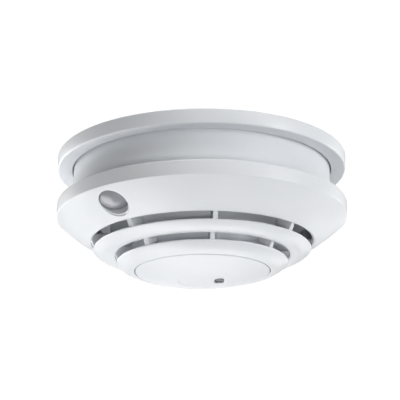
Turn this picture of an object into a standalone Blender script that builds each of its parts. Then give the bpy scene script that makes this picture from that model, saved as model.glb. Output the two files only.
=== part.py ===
"""Ceiling heat detector with a bayonet mounting base, louvred front cover and domed test button.

The origin is the centre of the mounting base's ceiling face. The detector hangs down from it, to -Z.
-Y is the front. Lengths are in metres.
"""
import math

import bmesh
import bpy
from mathutils import Matrix, Vector

MM = 0.001
GAP = 0.3 * MM                  # between pieces that rest on each other
ROUND_STEPS = 48                # facets of the large turned parts, a multiple of the eight fins
SMALL_STEPS = 16                # facets of screws and small turned parts
WELD = 0.00001

# Outer shape
BODY_R = 60.0 * MM
FLANGE_R = 60.2 * MM
FLANGE_H = 5.9 * MM
NECK_R = 53.4 * MM
BODY_TOP_Z = -20.1 * MM
BAND_LOW_Z = -26.2 * MM
CONE_LOW = (46.0 * MM, -36.6 * MM)
CONE_BULGE = 0.35 * MM
RING1_OUT = (44.7 * MM, -39.5 * MM)
RING1_IN = (35.8 * MM, -41.8 * MM)
RING1_BULGE = 1.0 * MM
RING2_OUT = (35.1 * MM, -44.8 * MM)
RING2_IN = (27.9 * MM, -48.2 * MM)
RING2_BULGE = 0.7 * MM
BUTTON_R = 27.5 * MM
BUTTON_EDGE_Z = -48.3 * MM
APEX_Z = -52.7 * MM
COVER_WALL = 2.0 * MM

# Mounting base
WEB_T = 2.4 * MM
WEB_RECESS = (16.0 * MM, 51.5 * MM, -0.8 * MM)  # inner radius, outer radius, floor height
WEB_RIBS = 8
RIB_TOP_Z = -0.1 * MM
RIM_IN_R = 54.0 * MM
CHANNEL = (55.6 * MM, 58.2 * MM, -4.3 * MM)     # inner radius, outer radius, floor height
CHANNEL_RIBS = 12
HOOK_AZIMUTHS = (90.0, 210.0, 330.0)
HOOK_LEG = (46.0 * MM, 48.0 * MM)
HOOK_FOOT_R = 42.0 * MM
HOOK_FOOT_Z = (-6.2 * MM, -7.6 * MM)
HOOK_HALF_WIDTH = 5.0 * MM
SLOT_R = 33.0 * MM
SLOT_AZIMUTHS = (0.0, 180.0, 270.0)
CABLE_HOLE = (20.0 * MM, 12.0 * MM, 24.0 * MM)  # width, depth, distance behind the centre

# Head: base housing, board and fasteners
DECK_Z = (-4.0 * MM, -5.8 * MM)
HOUSING_WALL = 1.8 * MM
SHELF_R = 57.7 * MM
SHELF_Z = (-19.9 * MM, -21.7 * MM)
TWIST_DEG = 18.0
BOARD_R = 45.5 * MM
BOARD_Z = (-24.0 * MM, -25.6 * MM)
CASE_SCREW_R = 49.5 * MM
CASE_SCREW_AZIMUTHS = (30.0, 150.0, 270.0)
BOARD_SCREW_R = 42.0 * MM
BOARD_SCREW_AZIMUTHS = (60.0, 180.0, 300.0)

# Battery and its tray
BATTERY = (48.5 * MM, 26.5 * MM, 17.5 * MM)
BATTERY_X = 4.0 * MM
BATTERY_Y = 18.0 * MM
BATTERY_TOP_Z = -4.6 * MM
TRAY_X = (-25.2 * MM, 28.7 * MM)
TRAY_WALL = 1.2 * MM
TRAY_FLOOR_Z = (-22.4 * MM, -23.5 * MM)
STUD_OFFSETS = (-6.4 * MM, 6.4 * MM)

# Sounder
SOUNDER_Y = -21.0 * MM
SOUNDER_R = 18.5 * MM
PORT_R = 12.0 * MM

# Air guide and louvre fins
GUIDE_R = 38.0 * MM
GUIDE_LOW_R = 29.0 * MM
GUIDE_WALL = 1.2 * MM
GUIDE_TOP_Z = -25.9 * MM
GUIDE_STEP_Z = (-37.0 * MM, -38.2 * MM)
GUIDE_LOW_Z = -42.8 * MM
FIN_FIRST = -83.5
FIN_COUNT = 8
FIN_T = 2.0 * MM
THERMISTOR_AZIMUTH = 74.0
THERMISTOR_R = 32.5 * MM

# Side window
WINDOW_AZIMUTH = -129.5
WINDOW_R = 53.2 * MM
WINDOW_DISH_R = 6.8 * MM
WINDOW_SINK = 0.6 * MM
WINDOW_AIM = (-92.0, 60.0)      # the bore's axis: azimuth, and degrees below level
WINDOW_HOLE_R = 5.8 * MM
WINDOW_TUBE = (7.0 * MM, 4.6 * MM)              # outer radius, depth
LENS_SPHERE_R = 11.0 * MM
LENS_TOP_DEPTH = 1.2 * MM
LENS_FLANGE = (6.3 * MM, 5.3 * MM, 0.6 * MM)    # radius, depth, thickness
HOLDER_DEPTH = (6.2 * MM, 7.6 * MM)
SENSOR_R = 2.4 * MM
SENSOR_BACK_DEPTH = 8.9 * MM
SENSOR_LEAD_AZIMUTH = -132.0
SENSOR_LEAD_Z = -22.6 * MM

# Test button, switch and spring
BUTTON_WALL = 1.6 * MM
DIMPLE_R = 9.9 * MM
INSERT_X = 6.8 * MM
INSERT_SIZE = (7.8 * MM, 3.9 * MM)
STEM_R = 2.5 * MM
SWITCH_LOW_Z = -29.4 * MM
PLUNGER_Z = (-28.4 * MM, -31.0 * MM)
SPRING_R = 4.2 * MM
SPRING_WIRE_R = 0.35 * MM
SPRING_TURNS = 5

WHITE = (0.86, 0.87, 0.88)


# ---------------------------------------------------------------- scene and collections

def clear_scene():
    for item in list(bpy.data.objects):
        bpy.data.objects.remove(item, do_unlink=True)
    for item in list(bpy.data.collections):
        bpy.data.collections.remove(item)


def new_collection(name):
    collection = bpy.data.collections.new(name)
    bpy.context.scene.collection.children.link(collection)
    return collection


clear_scene()
PARTS = new_collection("heat_detector")
CUTTERS = new_collection("cutters")


def new_object(name, data, collection):
    item = bpy.data.objects.new(name, data)
    collection.objects.link(item)
    return item


def mark_cutter(item):
    item.hide_render = True
    item.display_type = "WIRE"
    return item


# ---------------------------------------------------------------- outlines

def polar(radius, azimuth):
    """Point in the XY plane at an azimuth in degrees."""
    angle = math.radians(azimuth)
    return radius * math.cos(angle), radius * math.sin(angle)


def arc(centre, radius, start, end, count):
    """Points on an arc about a centre, from one angle to another in degrees, both ends included."""
    points = []
    for index in range(count + 1):
        angle = math.radians(start + (end - start) * index / count)
        points.append((centre[0] + radius * math.cos(angle), centre[1] + radius * math.sin(angle)))
    return points


def bowed(start, end, rise, count):
    """Points from start to end, pushed sideways by a parabola of the given rise, ends included."""
    along = Vector(end) - Vector(start)
    side = Vector((along.y, -along.x)).normalized()
    points = []
    for index in range(count + 1):
        share = index / count
        point = Vector(start) + along * share - side * rise * 4.0 * share * (1.0 - share)
        points.append((point.x, point.y))
    return points


def circle(centre, radius, count=24):
    return arc(centre, radius, 0.0, 360.0 * (count - 1) / count, count - 1)


def obround(centre, length, width, count=8):
    """A slot outline that is long in Y."""
    half = (length - width) / 2
    top = arc((centre[0], centre[1] + half), width / 2, 0.0, 180.0, count)
    bottom = arc((centre[0], centre[1] - half), width / 2, 180.0, 360.0, count)
    return top + bottom


# ---------------------------------------------------------------- solids

def turned(name, profile, steps=ROUND_STEPS, place=None, collection=PARTS):
    """Turn a profile of (radius, height) points about Z. It runs down its outer side.

    A profile that starts and ends on the axis stays open, and any other is closed into a ring.
    """
    mesh = bpy.data.meshes.new(name)
    count = len(profile)
    on_axis = profile[0][0] == 0.0 and profile[-1][0] == 0.0
    edges = [(index, index + 1) for index in range(count - 1)]
    if not on_axis:
        edges.append((count - 1, 0))
    mesh.from_pydata([(radius, 0.0, height) for radius, height in profile], edges, [])
    item = new_object(name, mesh, collection)
    screw = item.modifiers.new("Screw", "SCREW")
    screw.steps = steps
    screw.render_steps = steps
    screw.use_merge_vertices = True
    screw.merge_threshold = WELD
    if place is not None:
        item.matrix_world = place
    return item


def to_mesh(curve_object, collection):
    """Replace a curve object by a welded mesh object of the same name and place."""
    bpy.context.view_layer.update()
    depsgraph = bpy.context.evaluated_depsgraph_get()
    mesh = bpy.data.meshes.new_from_object(curve_object.evaluated_get(depsgraph))
    work = bmesh.new()
    work.from_mesh(mesh)
    bmesh.ops.remove_doubles(work, verts=work.verts, dist=WELD)
    bmesh.ops.recalc_face_normals(work, faces=work.faces)
    work.to_mesh(mesh)
    work.free()
    name = curve_object.name
    place = curve_object.matrix_world.copy()
    bpy.data.objects.remove(curve_object, do_unlink=True)
    item = new_object(name, mesh, collection)
    item.matrix_world = place
    return item


def plate(name, outlines, low, high, place=None, collection=PARTS):
    """A flat plate between two heights. The first outline is its edge, and the rest are holes."""
    curve = bpy.data.curves.new(name, "CURVE")
    curve.dimensions = "2D"
    curve.fill_mode = "BOTH"
    curve.extrude = abs(high - low) / 2
    for outline in outlines:
        spline = curve.splines.new("POLY")
        spline.points.add(len(outline) - 1)
        for point, spot in zip(spline.points, outline):
            point.co = (spot[0], spot[1], 0.0, 1.0)
        spline.use_cyclic_u = True
    item = new_object(name, curve, collection)
    shift = Matrix.Translation((0.0, 0.0, (low + high) / 2))
    item.matrix_world = shift if place is None else place @ shift
    return to_mesh(item, collection)


def wire(name, path, radius, collection=PARTS):
    """A round wire along a list of points."""
    curve = bpy.data.curves.new(name, "CURVE")
    curve.dimensions = "3D"
    curve.bevel_depth = radius
    curve.bevel_resolution = 2
    curve.use_fill_caps = True
    spline = curve.splines.new("POLY")
    spline.points.add(len(path) - 1)
    for point, spot in zip(spline.points, path):
        point.co = (spot[0], spot[1], spot[2], 1.0)
    return to_mesh(new_object(name, curve, collection), collection)


def box(name, low, high, bevel=0.0, collection=PARTS):
    """A box between two corners, with optional rounded edges."""
    work = bmesh.new()
    bmesh.ops.create_cube(work, size=1.0)
    size = [high[axis] - low[axis] for axis in range(3)]
    bmesh.ops.scale(work, vec=size, verts=work.verts)
    mesh = bpy.data.meshes.new(name)
    work.to_mesh(mesh)
    work.free()
    item = new_object(name, mesh, collection)
    item.location = [(high[axis] + low[axis]) / 2 for axis in range(3)]
    if bevel > 0.0:
        rounding = item.modifiers.new("Bevel", "BEVEL")
        rounding.width = bevel
        rounding.segments = 2
    return item


def gather(name, items, collection=CUTTERS):
    """Join several separate solids into one object, in world space."""
    bpy.context.view_layer.update()
    depsgraph = bpy.context.evaluated_depsgraph_get()
    work = bmesh.new()
    for item in items:
        mesh = bpy.data.meshes.new_from_object(item.evaluated_get(depsgraph))
        mesh.transform(item.matrix_world)
        work.from_mesh(mesh)
        bpy.data.meshes.remove(mesh)
        bpy.data.objects.remove(item, do_unlink=True)
    mesh = bpy.data.meshes.new(name)
    work.to_mesh(mesh)
    work.free()
    return mark_cutter(new_object(name, mesh, collection))


def combine(item, other, operation):
    """Add a Boolean modifier: UNION, DIFFERENCE or INTERSECT."""
    boolean = item.modifiers.new(other.name, "BOOLEAN")
    boolean.operation = operation
    boolean.solver = "EXACT"
    boolean.object = mark_cutter(other)


def settle(item, colour, roughness, metallic=0.0):
    """Apply an object's modifiers, shade it smooth between sharp edges and give it its material."""
    bpy.context.view_layer.update()
    depsgraph = bpy.context.evaluated_depsgraph_get()
    mesh = bpy.data.meshes.new_from_object(item.evaluated_get(depsgraph))
    item.modifiers.clear()
    item.data = mesh
    mesh.shade_smooth()
    mesh.set_sharp_from_angle(angle=math.radians(30.0))
    material = bpy.data.materials.new(item.name)
    material.use_nodes = True
    shader = material.node_tree.nodes["Principled BSDF"]
    shader.inputs["Base Color"].default_value = (*colour, 1.0)
    shader.inputs["Roughness"].default_value = roughness
    shader.inputs["Metallic"].default_value = metallic
    mesh.materials.clear()
    mesh.materials.append(material)
    return item


def upright(azimuth):
    """Place for a plate drawn in (radius, height): stands it up along an azimuth."""
    turn = Matrix.Rotation(math.radians(azimuth), 4, "Z")
    return turn @ Matrix.Rotation(math.radians(90.0), 4, "X")


def cylinder(name, centre, radius, low, high):
    """An upright cylinder for a Boolean."""
    profile = [(0.0, high), (radius, high), (radius, low), (0.0, low)]
    return turned(name, profile, SMALL_STEPS, Matrix.Translation((*centre, 0.0)), CUTTERS)


# ---------------------------------------------------------------- mounting base

def make_mounting_base():
    channel_in, channel_out, channel_floor = CHANNEL
    chamfer = 0.6 * MM
    recess_in, recess_out, recess_floor = WEB_RECESS
    profile = [
        (0.0, 0.0),
        (recess_in, 0.0),
        (recess_in, recess_floor),
        (recess_out, recess_floor),
        (recess_out, 0.0),
        (channel_in, 0.0),
        (channel_in, channel_floor),
        (channel_out, channel_floor),
        (channel_out, 0.0),
        (FLANGE_R - chamfer, 0.0),
        (FLANGE_R, -chamfer),
        (FLANGE_R - 0.3 * MM, -FLANGE_H + 0.5 * MM),
        (FLANGE_R - 0.8 * MM, -FLANGE_H),
        (RIM_IN_R, -FLANGE_H),
        (RIM_IN_R, -WEB_T),
        (0.0, -WEB_T),
    ]
    base = turned("mounting_base", profile)

    hook = [
        (HOOK_LEG[0], -WEB_T + 0.5 * MM),
        (HOOK_LEG[0], HOOK_FOOT_Z[0]),
        (HOOK_FOOT_R, HOOK_FOOT_Z[0]),
        (HOOK_FOOT_R, HOOK_FOOT_Z[1]),
        (HOOK_LEG[1], HOOK_FOOT_Z[1]),
        (HOOK_LEG[1], -WEB_T + 0.5 * MM),
    ]
    solids = []
    for azimuth in HOOK_AZIMUTHS:
        solids.append(plate("hook", [hook], -HOOK_HALF_WIDTH, HOOK_HALF_WIDTH, upright(azimuth), CUTTERS))
    rib = [
        (channel_in - 0.3 * MM, -1.0 * MM),
        (channel_in - 0.3 * MM, channel_floor - 0.3 * MM),
        (channel_out + 0.3 * MM, channel_floor - 0.3 * MM),
        (channel_out + 0.3 * MM, -1.0 * MM),
    ]
    for index in range(CHANNEL_RIBS):
        azimuth = 15.0 + 360.0 * index / CHANNEL_RIBS
        solids.append(plate("rib", [rib], -0.6 * MM, 0.6 * MM, upright(azimuth), CUTTERS))
    combine(base, gather("base_hooks_and_ribs", solids), "UNION")

    width, depth, back = CABLE_HOLE
    pads = []
    openings = []
    for azimuth in SLOT_AZIMUTHS:
        place = Matrix.Rotation(math.radians(azimuth), 4, "Z")
        pad = obround((SLOT_R, 0.0), 18.0 * MM, 9.6 * MM)
        pads.append(plate("slot_pad", [pad], recess_floor - 0.4 * MM, RIB_TOP_Z, place, CUTTERS))
        slot = obround((SLOT_R, 0.0), 13.0 * MM, 4.6 * MM)
        openings.append(plate("slot", [slot], -3.0 * MM, 1.0 * MM, place, CUTTERS))
    frame = 1.5 * MM
    pads.append(box("cable_frame", (-width / 2 - frame, back - depth / 2 - frame, recess_floor - 0.4 * MM),
                    (width / 2 + frame, back + depth / 2 + frame, RIB_TOP_Z), 0.0, CUTTERS))
    combine(base, gather("base_pads", pads), "UNION")
    ribs = []
    for index in range(WEB_RIBS):
        azimuth = 360.0 * (index + 0.5) / WEB_RIBS
        rib = [(recess_in - 0.3 * MM, -0.7 * MM), (recess_out + 0.3 * MM, -0.7 * MM),
               (recess_out + 0.3 * MM, 0.7 * MM), (recess_in - 0.3 * MM, 0.7 * MM)]
        place = Matrix.Rotation(math.radians(azimuth), 4, "Z")
        ribs.append(plate("web_rib", [rib], recess_floor - 0.3 * MM, RIB_TOP_Z - 0.1 * MM, place, CUTTERS))
    combine(base, gather("base_web_ribs", ribs), "UNION")
    openings.append(box("cable", (-width / 2, back - depth / 2, -3.0 * MM),
                        (width / 2, back + depth / 2, 1.0 * MM), 0.0, CUTTERS))
    combine(base, gather("base_openings", openings), "DIFFERENCE")
    settle(base, WHITE, 0.4)


# ---------------------------------------------------------------- head: housing and cover

def keyhole(azimuth):
    """Bayonet slot in the deck: narrow where the hook locks, wide where its foot passes."""
    start, neck_end, end = azimuth - 7.6, azimuth + 10.0, azimuth + TWIST_DEG + 8.2
    outline = arc((0.0, 0.0), 49.3 * MM, start, end, 10)
    outline += arc((0.0, 0.0), 41.2 * MM, end, neck_end, 5)
    outline += arc((0.0, 0.0), 45.3 * MM, neck_end, start, 5)
    return outline


def make_base_housing():
    inside = NECK_R - HOUSING_WALL
    profile = [
        (0.0, DECK_Z[0]),
        (NECK_R - 0.6 * MM, DECK_Z[0]),
        (NECK_R, DECK_Z[0] - 0.6 * MM),
        (NECK_R, SHELF_Z[0]),
        (SHELF_R, SHELF_Z[0]),
        (SHELF_R, SHELF_Z[1]),
        (inside, SHELF_Z[1]),
        (inside, DECK_Z[1]),
        (0.0, DECK_Z[1]),
    ]
    housing = turned("base_housing", profile)

    solids = []
    bores = []
    for azimuth in CASE_SCREW_AZIMUTHS:
        spot = polar(CASE_SCREW_R, azimuth)
        solids.append(cylinder("pillar", spot, 3.9 * MM, -22.5 * MM, -5.0 * MM))
        bores.append(cylinder("head_bore", spot, 2.9 * MM, -20.0 * MM, -3.0 * MM))
    for azimuth in BOARD_SCREW_AZIMUTHS:
        spot = polar(BOARD_SCREW_R, azimuth)
        solids.append(cylinder("post", spot, 3.0 * MM, -23.7 * MM, -5.0 * MM))
        bores.append(cylinder("post_bore", spot, 1.5 * MM, -24.5 * MM, -14.0 * MM))
    tray_y = BATTERY[1] / 2 + GAP
    solids.append(box("tray", (TRAY_X[0] - TRAY_WALL, BATTERY_Y - tray_y - TRAY_WALL, TRAY_FLOOR_Z[1]),
                      (TRAY_X[1] + TRAY_WALL, BATTERY_Y + tray_y + TRAY_WALL, -5.0 * MM), 0.0, CUTTERS))
    combine(housing, gather("housing_pillars_and_tray", solids), "UNION")

    bores.append(box("tray_room", (TRAY_X[0], BATTERY_Y - tray_y, TRAY_FLOOR_Z[0]),
                     (TRAY_X[1], BATTERY_Y + tray_y, -3.0 * MM), 0.0, CUTTERS))
    for azimuth in HOOK_AZIMUTHS:
        bores.append(plate("keyhole", [keyhole(azimuth)], -7.0 * MM, -3.0 * MM, None, CUTTERS))
    combine(housing, gather("housing_openings", bores), "DIFFERENCE")

    passages = []
    for azimuth in CASE_SCREW_AZIMUTHS:
        spot = polar(CASE_SCREW_R, azimuth)
        passages.append(cylinder("screw_passage", spot, 1.7 * MM, -23.5 * MM, -19.5 * MM))
    passages.append(box("lead_notch", (-27.5 * MM, 11.0 * MM, -19.4 * MM),
                        (-24.6 * MM, 25.0 * MM, -17.0 * MM), 0.0, CUTTERS))
    combine(housing, gather("housing_passages", passages), "DIFFERENCE")
    settle(housing, WHITE, 0.4)


def cone_direction():
    """Unit vectors in (radius, height): down the cone and out of its surface."""
    down = (Vector(CONE_LOW) - Vector((BODY_R, BAND_LOW_Z))).normalized()
    return down, Vector((-down.y, down.x))


def cover_profile():
    """The rim band and the cone, a ring of even wall thickness with rounded edges."""
    down, out = cone_direction()
    edge = 2.0 * MM
    lip = 0.9 * MM
    outer = arc((BODY_R - edge, BODY_TOP_Z - edge), edge, 90.0, 0.0, 3)
    outer += bowed((BODY_R - 0.1 * MM, BAND_LOW_Z), CONE_LOW, CONE_BULGE, 4)[:-1]
    lip_centre = Vector(CONE_LOW) - down * lip - out * lip
    outward = math.degrees(math.atan2(out.y, out.x))
    outer += arc(lip_centre, lip, outward, outward - 140.0, 3)
    inner_low = Vector(CONE_LOW) - out * COVER_WALL - down * 0.3 * MM
    inner_high_z = BAND_LOW_Z + 0.6 * MM
    inner_high = Vector((BODY_R - COVER_WALL, inner_high_z))
    return outer + [tuple(inner_low), tuple(inner_high), (BODY_R - COVER_WALL, BODY_TOP_Z)]


def ring_profile(outer, inner, bulge, top_inner_drop):
    """One louvre ring: thin outer edge, bulged underside, and a top face that is nearly level."""
    edge = 0.35 * MM
    under = bowed((outer[0] - 0.1 * MM, outer[1] - 0.15 * MM), inner, bulge, 4)
    edge_points = arc((outer[0] - edge, outer[1] + edge), edge, 90.0, 0.0, 2)
    return edge_points + under + [(inner[0], inner[1] + top_inner_drop)]


def fin_outline():
    """One louvre fin in (radius, height): it joins the cone, ring 1 and ring 2."""
    clear = 0.45 * MM
    return [
        (48.3 * MM, -33.3 * MM),
        (45.9 * MM, -35.8 * MM),
        (43.9 * MM, -39.5 * MM),
        (36.6 * MM, -41.2 * MM),
        (35.9 * MM, -41.4 * MM),
        (34.4 * MM, -44.9 * MM),
        (GUIDE_LOW_R + clear, -46.6 * MM),
        (GUIDE_LOW_R + clear, GUIDE_STEP_Z[1] - clear),
        (GUIDE_R + clear, GUIDE_STEP_Z[1] - clear),
        (GUIDE_R + clear, -33.0 * MM),
    ]


def window_place(azimuth, dip):
    """Place at the side window's centre on the cone, with +Z out towards azimuth and dip below level."""
    down, out = cone_direction()
    along = (WINDOW_R - BODY_R) / down.x
    spot = Vector((BODY_R, BAND_LOW_Z)) + down * along + out * CONE_BULGE * 0.9
    turn = Matrix.Rotation(math.radians(azimuth), 4, "Z")
    tilt = Matrix.Rotation(math.radians(90.0 + dip), 4, "Y")
    return Matrix.Translation((*polar(spot.x, WINDOW_AZIMUTH), spot.y)) @ turn @ tilt


def cone_dip():
    """How far the cone's outward normal dips below level, in degrees."""
    out = cone_direction()[1]
    return math.degrees(math.atan2(-out.y, out.x))


def make_window_tube():
    """The side window's tube, trimmed so that it stays inside the cover's outer face."""
    out = cone_direction()[1]
    inset = 1.0 * MM
    high = Vector((BODY_R, BAND_LOW_Z)) - out * inset
    low = Vector(CONE_LOW) - out * inset
    ceiling_z = -22.3 * MM
    room = [(0.0, ceiling_z), (55.0 * MM, ceiling_z), tuple(high), tuple(low), (0.0, low.y)]
    radius, depth = WINDOW_TUBE
    wall = [(0.0, 4.0 * MM), (radius, 4.0 * MM), (radius, -depth), (0.0, -depth)]
    tube = turned("window_tube", wall, 24, window_place(*WINDOW_AIM), CUTTERS)
    combine(tube, turned("window_tube_room", room, ROUND_STEPS, None, CUTTERS), "INTERSECT")
    return tube


def make_front_cover():
    cover = turned("front_cover", cover_profile())
    fins = []
    for index in range(FIN_COUNT):
        place = upright(FIN_FIRST + 360.0 * index / FIN_COUNT)
        fins.append(plate("fin", [fin_outline()], -FIN_T / 2, FIN_T / 2, place, CUTTERS))
    for azimuth in CASE_SCREW_AZIMUTHS:
        spot = polar(CASE_SCREW_R, azimuth)
        fins.append(cylinder("boss", spot, 2.8 * MM, -31.0 * MM, -23.0 * MM))
    combine(cover, gather("cover_fins_and_bosses", fins), "UNION")
    ring = turned("louvre_ring_1", ring_profile(RING1_OUT, RING1_IN, RING1_BULGE, 1.7 * MM),
                  ROUND_STEPS, None, CUTTERS)
    combine(cover, ring, "UNION")
    ring = turned("louvre_ring_2", ring_profile(RING2_OUT, RING2_IN, RING2_BULGE, 2.0 * MM),
                  ROUND_STEPS, None, CUTTERS)
    combine(cover, ring, "UNION")

    bores = []
    for azimuth in CASE_SCREW_AZIMUTHS:
        spot = polar(CASE_SCREW_R, azimuth)
        bores.append(cylinder("boss_bore", spot, 1.5 * MM, -30.0 * MM, -22.0 * MM))
    combine(cover, make_window_tube(), "UNION")
    hole = [(0.0, 5.0 * MM), (WINDOW_HOLE_R, 5.0 * MM), (WINDOW_HOLE_R, -7.0 * MM), (0.0, -7.0 * MM)]
    bores.append(turned("window_hole", hole, 24, window_place(*WINDOW_AIM), CUTTERS))
    combine(cover, gather("cover_bores", bores), "DIFFERENCE")
    reach = 2.0 * MM
    dish = [
        (0.0, reach),
        (WINDOW_DISH_R + reach, reach),
        (WINDOW_DISH_R - WINDOW_SINK, -WINDOW_SINK),
        (0.0, -WINDOW_SINK),
    ]
    flush = window_place(WINDOW_AZIMUTH, cone_dip())
    combine(cover, turned("window_dish", dish, 24, flush, CUTTERS), "DIFFERENCE")
    settle(cover, WHITE, 0.35)


# ---------------------------------------------------------------- head: air guide and sensors

def make_air_guide():
    top, under = GUIDE_STEP_Z
    flange_r = 44.5 * MM
    hub_r = 3.2 * MM
    profile = [
        (flange_r, GUIDE_TOP_Z),
        (flange_r, GUIDE_TOP_Z - GUIDE_WALL),
        (GUIDE_R, GUIDE_TOP_Z - GUIDE_WALL),
        (GUIDE_R, under),
        (GUIDE_LOW_R, under),
        (GUIDE_LOW_R, GUIDE_LOW_Z),
        (GUIDE_LOW_R - GUIDE_WALL, GUIDE_LOW_Z),
        (GUIDE_LOW_R - GUIDE_WALL, under),
        (hub_r, under),
        (hub_r, top),
        (GUIDE_R - GUIDE_WALL, top),
        (GUIDE_R - GUIDE_WALL, GUIDE_TOP_Z),
    ]
    guide = turned("air_guide", profile)
    bores = []
    for azimuth in BOARD_SCREW_AZIMUTHS:
        spot = polar(BOARD_SCREW_R, azimuth)
        bores.append(cylinder("flange_hole", spot, 1.6 * MM, -28.0 * MM, -25.0 * MM))
    thermistor_spot = polar(THERMISTOR_R, THERMISTOR_AZIMUTH)
    bores.append(cylinder("thermistor_hole", thermistor_spot, 1.9 * MM, -39.0 * MM, -36.0 * MM))
    bores.append(cylinder("pipe_hole", (INSERT_X, 0.0), 2.0 * MM, -39.0 * MM, -36.0 * MM))
    half_width, port_low, port_high = 5.0 * MM, -32.0 * MM, -29.0 * MM
    port = [
        (-half_width, port_low),
        (half_width, port_low),
        (half_width, port_high),
        (-half_width, port_high),
    ]
    outwards = Matrix.Rotation(math.radians(90.0), 4, "X")
    for index in range(FIN_COUNT):
        azimuth = FIN_FIRST + 360.0 * (index + 0.5) / FIN_COUNT
        turn = Matrix.Rotation(math.radians(azimuth + 90.0), 4, "Z")
        bores.append(plate("air_port", [port], 35.0 * MM, 40.0 * MM, turn @ outwards, CUTTERS))
    combine(guide, gather("guide_openings", bores), "DIFFERENCE")
    settle(guide, (0.42, 0.43, 0.45), 0.35)


def make_thermistor():
    """A glass bead on a sheathed stem that hangs from the board behind the louvres."""
    bead_z = -41.2 * MM
    bead_r = 1.5 * MM
    stem_r = 0.8 * MM
    top = BOARD_Z[1] - GAP
    bead = arc((0.0, bead_z), bead_r, 55.0, -90.0, 5)
    bead[-1] = (0.0, bead_z - bead_r)
    profile = [(0.0, top), (1.4 * MM, top), (1.4 * MM, top - 2.0 * MM), (stem_r, top - 2.6 * MM)] + bead
    place = Matrix.Translation((*polar(THERMISTOR_R, THERMISTOR_AZIMUTH), 0.0))
    settle(turned("thermistor", profile, SMALL_STEPS, place), (0.05, 0.05, 0.06), 0.25)


def make_window():
    """A domed lens in the cone's tube, and a sensor in a holder behind it."""
    place = window_place(*WINDOW_AIM)
    flange_r, flange_depth, flange_t = LENS_FLANGE
    lens_r = WINDOW_HOLE_R - GAP
    reach = 90.0 - math.degrees(math.asin(lens_r / LENS_SPHERE_R))
    crown = arc((0.0, -LENS_TOP_DEPTH - LENS_SPHERE_R), LENS_SPHERE_R, 90.0, reach, 6)
    crown[0] = (0.0, -LENS_TOP_DEPTH)
    lens = crown + [
        (lens_r, -flange_depth),
        (flange_r, -flange_depth),
        (flange_r, -flange_depth - flange_t),
        (0.0, -flange_depth - flange_t),
    ]
    settle(turned("window_lens", lens, 24, place), (0.3, 0.3, 0.33), 0.08)
    holder_r, holder_bore = 4.2 * MM, 2.8 * MM
    holder = [
        (holder_r, -HOLDER_DEPTH[0]),
        (holder_r, -HOLDER_DEPTH[1]),
        (holder_bore, -HOLDER_DEPTH[1]),
        (holder_bore, -HOLDER_DEPTH[0]),
    ]
    settle(turned("sensor_holder", holder, SMALL_STEPS, place), (0.05, 0.05, 0.05), 0.5)
    centre = -HOLDER_DEPTH[0] - SENSOR_R
    dome = arc((0.0, centre), SENSOR_R, 90.0, 0.0, 4)
    dome[0] = (0.0, centre + SENSOR_R)
    sensor = dome + [(SENSOR_R, -SENSOR_BACK_DEPTH), (0.0, -SENSOR_BACK_DEPTH)]
    settle(turned("window_sensor", sensor, SMALL_STEPS, place), (0.2, 0.2, 0.25), 0.15)
    start = place @ Vector((0.0, 0.0, -SENSOR_BACK_DEPTH - GAP))
    corner = polar(47.0 * MM, SENSOR_LEAD_AZIMUTH)
    end = polar(43.0 * MM, SENSOR_LEAD_AZIMUTH)
    path = [
        start,
        Vector((*corner, SENSOR_LEAD_Z)),
        Vector((*end, SENSOR_LEAD_Z)),
        Vector((*end, BOARD_Z[0] + GAP)),
    ]
    settle(wire("sensor_lead", bend_path(path, 1.0 * MM), 0.5 * MM), (0.1, 0.1, 0.1), 0.5)


def bend_path(points, radius, count=3):
    """A polyline with its corners rounded by short quadratic curves."""
    path = [Vector(points[0])]
    for before, corner, after in zip(points, points[1:], points[2:]):
        before, corner, after = Vector(before), Vector(corner), Vector(after)
        start = corner + (before - corner).normalized() * radius
        end = corner + (after - corner).normalized() * radius
        for index in range(count + 1):
            share = index / count
            path.append(start * (1 - share) ** 2 + corner * 2 * share * (1 - share) + end * share ** 2)
    path.append(Vector(points[-1]))
    return path


# ---------------------------------------------------------------- head: board and electronics

def make_board():
    holes = [circle((0.0, SOUNDER_Y), PORT_R, 32)]
    for azimuth in BOARD_SCREW_AZIMUTHS:
        holes.append(circle(polar(BOARD_SCREW_R, azimuth), 1.6 * MM, 16))
    outline = circle((0.0, 0.0), BOARD_R, ROUND_STEPS)
    board = plate("main_board", [outline] + holes, BOARD_Z[1], BOARD_Z[0])
    settle(board, (0.03, 0.22, 0.08), 0.4)
    under = BOARD_Z[1] - GAP
    chip = box("controller_chip", (-21.0 * MM, 6.0 * MM, under - 1.5 * MM),
               (-11.0 * MM, 16.0 * MM, under), 0.2 * MM)
    settle(chip, (0.03, 0.03, 0.03), 0.5)
    led = box("status_led", (INSERT_X - 1.6 * MM, -1.4 * MM, under - 1.4 * MM),
              (INSERT_X + 1.6 * MM, 1.4 * MM, under), 0.15 * MM)
    settle(led, (0.9, 0.8, 0.5), 0.3)
    for name, spot in (("capacitor_1", (18.0 * MM, 12.0 * MM)), ("capacitor_2", (13.0 * MM, 21.0 * MM))):
        can = [
            (0.0, under),
            (3.3 * MM, under),
            (3.3 * MM, under - 7.0 * MM),
            (2.8 * MM, under - 7.6 * MM),
            (0.0, under - 7.6 * MM),
        ]
        place = Matrix.Translation((*spot, 0.0))
        settle(turned(name, can, SMALL_STEPS, place), (0.05, 0.06, 0.12), 0.3)
    drum = [
        (0.0, under),
        (4.6 * MM, under),
        (4.6 * MM, under - 1.0 * MM),
        (3.6 * MM, under - 1.4 * MM),
        (3.6 * MM, under - 4.6 * MM),
        (4.6 * MM, under - 5.0 * MM),
        (4.6 * MM, under - 6.0 * MM),
        (0.0, under - 6.0 * MM),
    ]
    place = Matrix.Translation((-21.0 * MM, -12.0 * MM, 0.0))
    settle(turned("inductor", drum, SMALL_STEPS, place), (0.08, 0.08, 0.08), 0.5)


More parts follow.
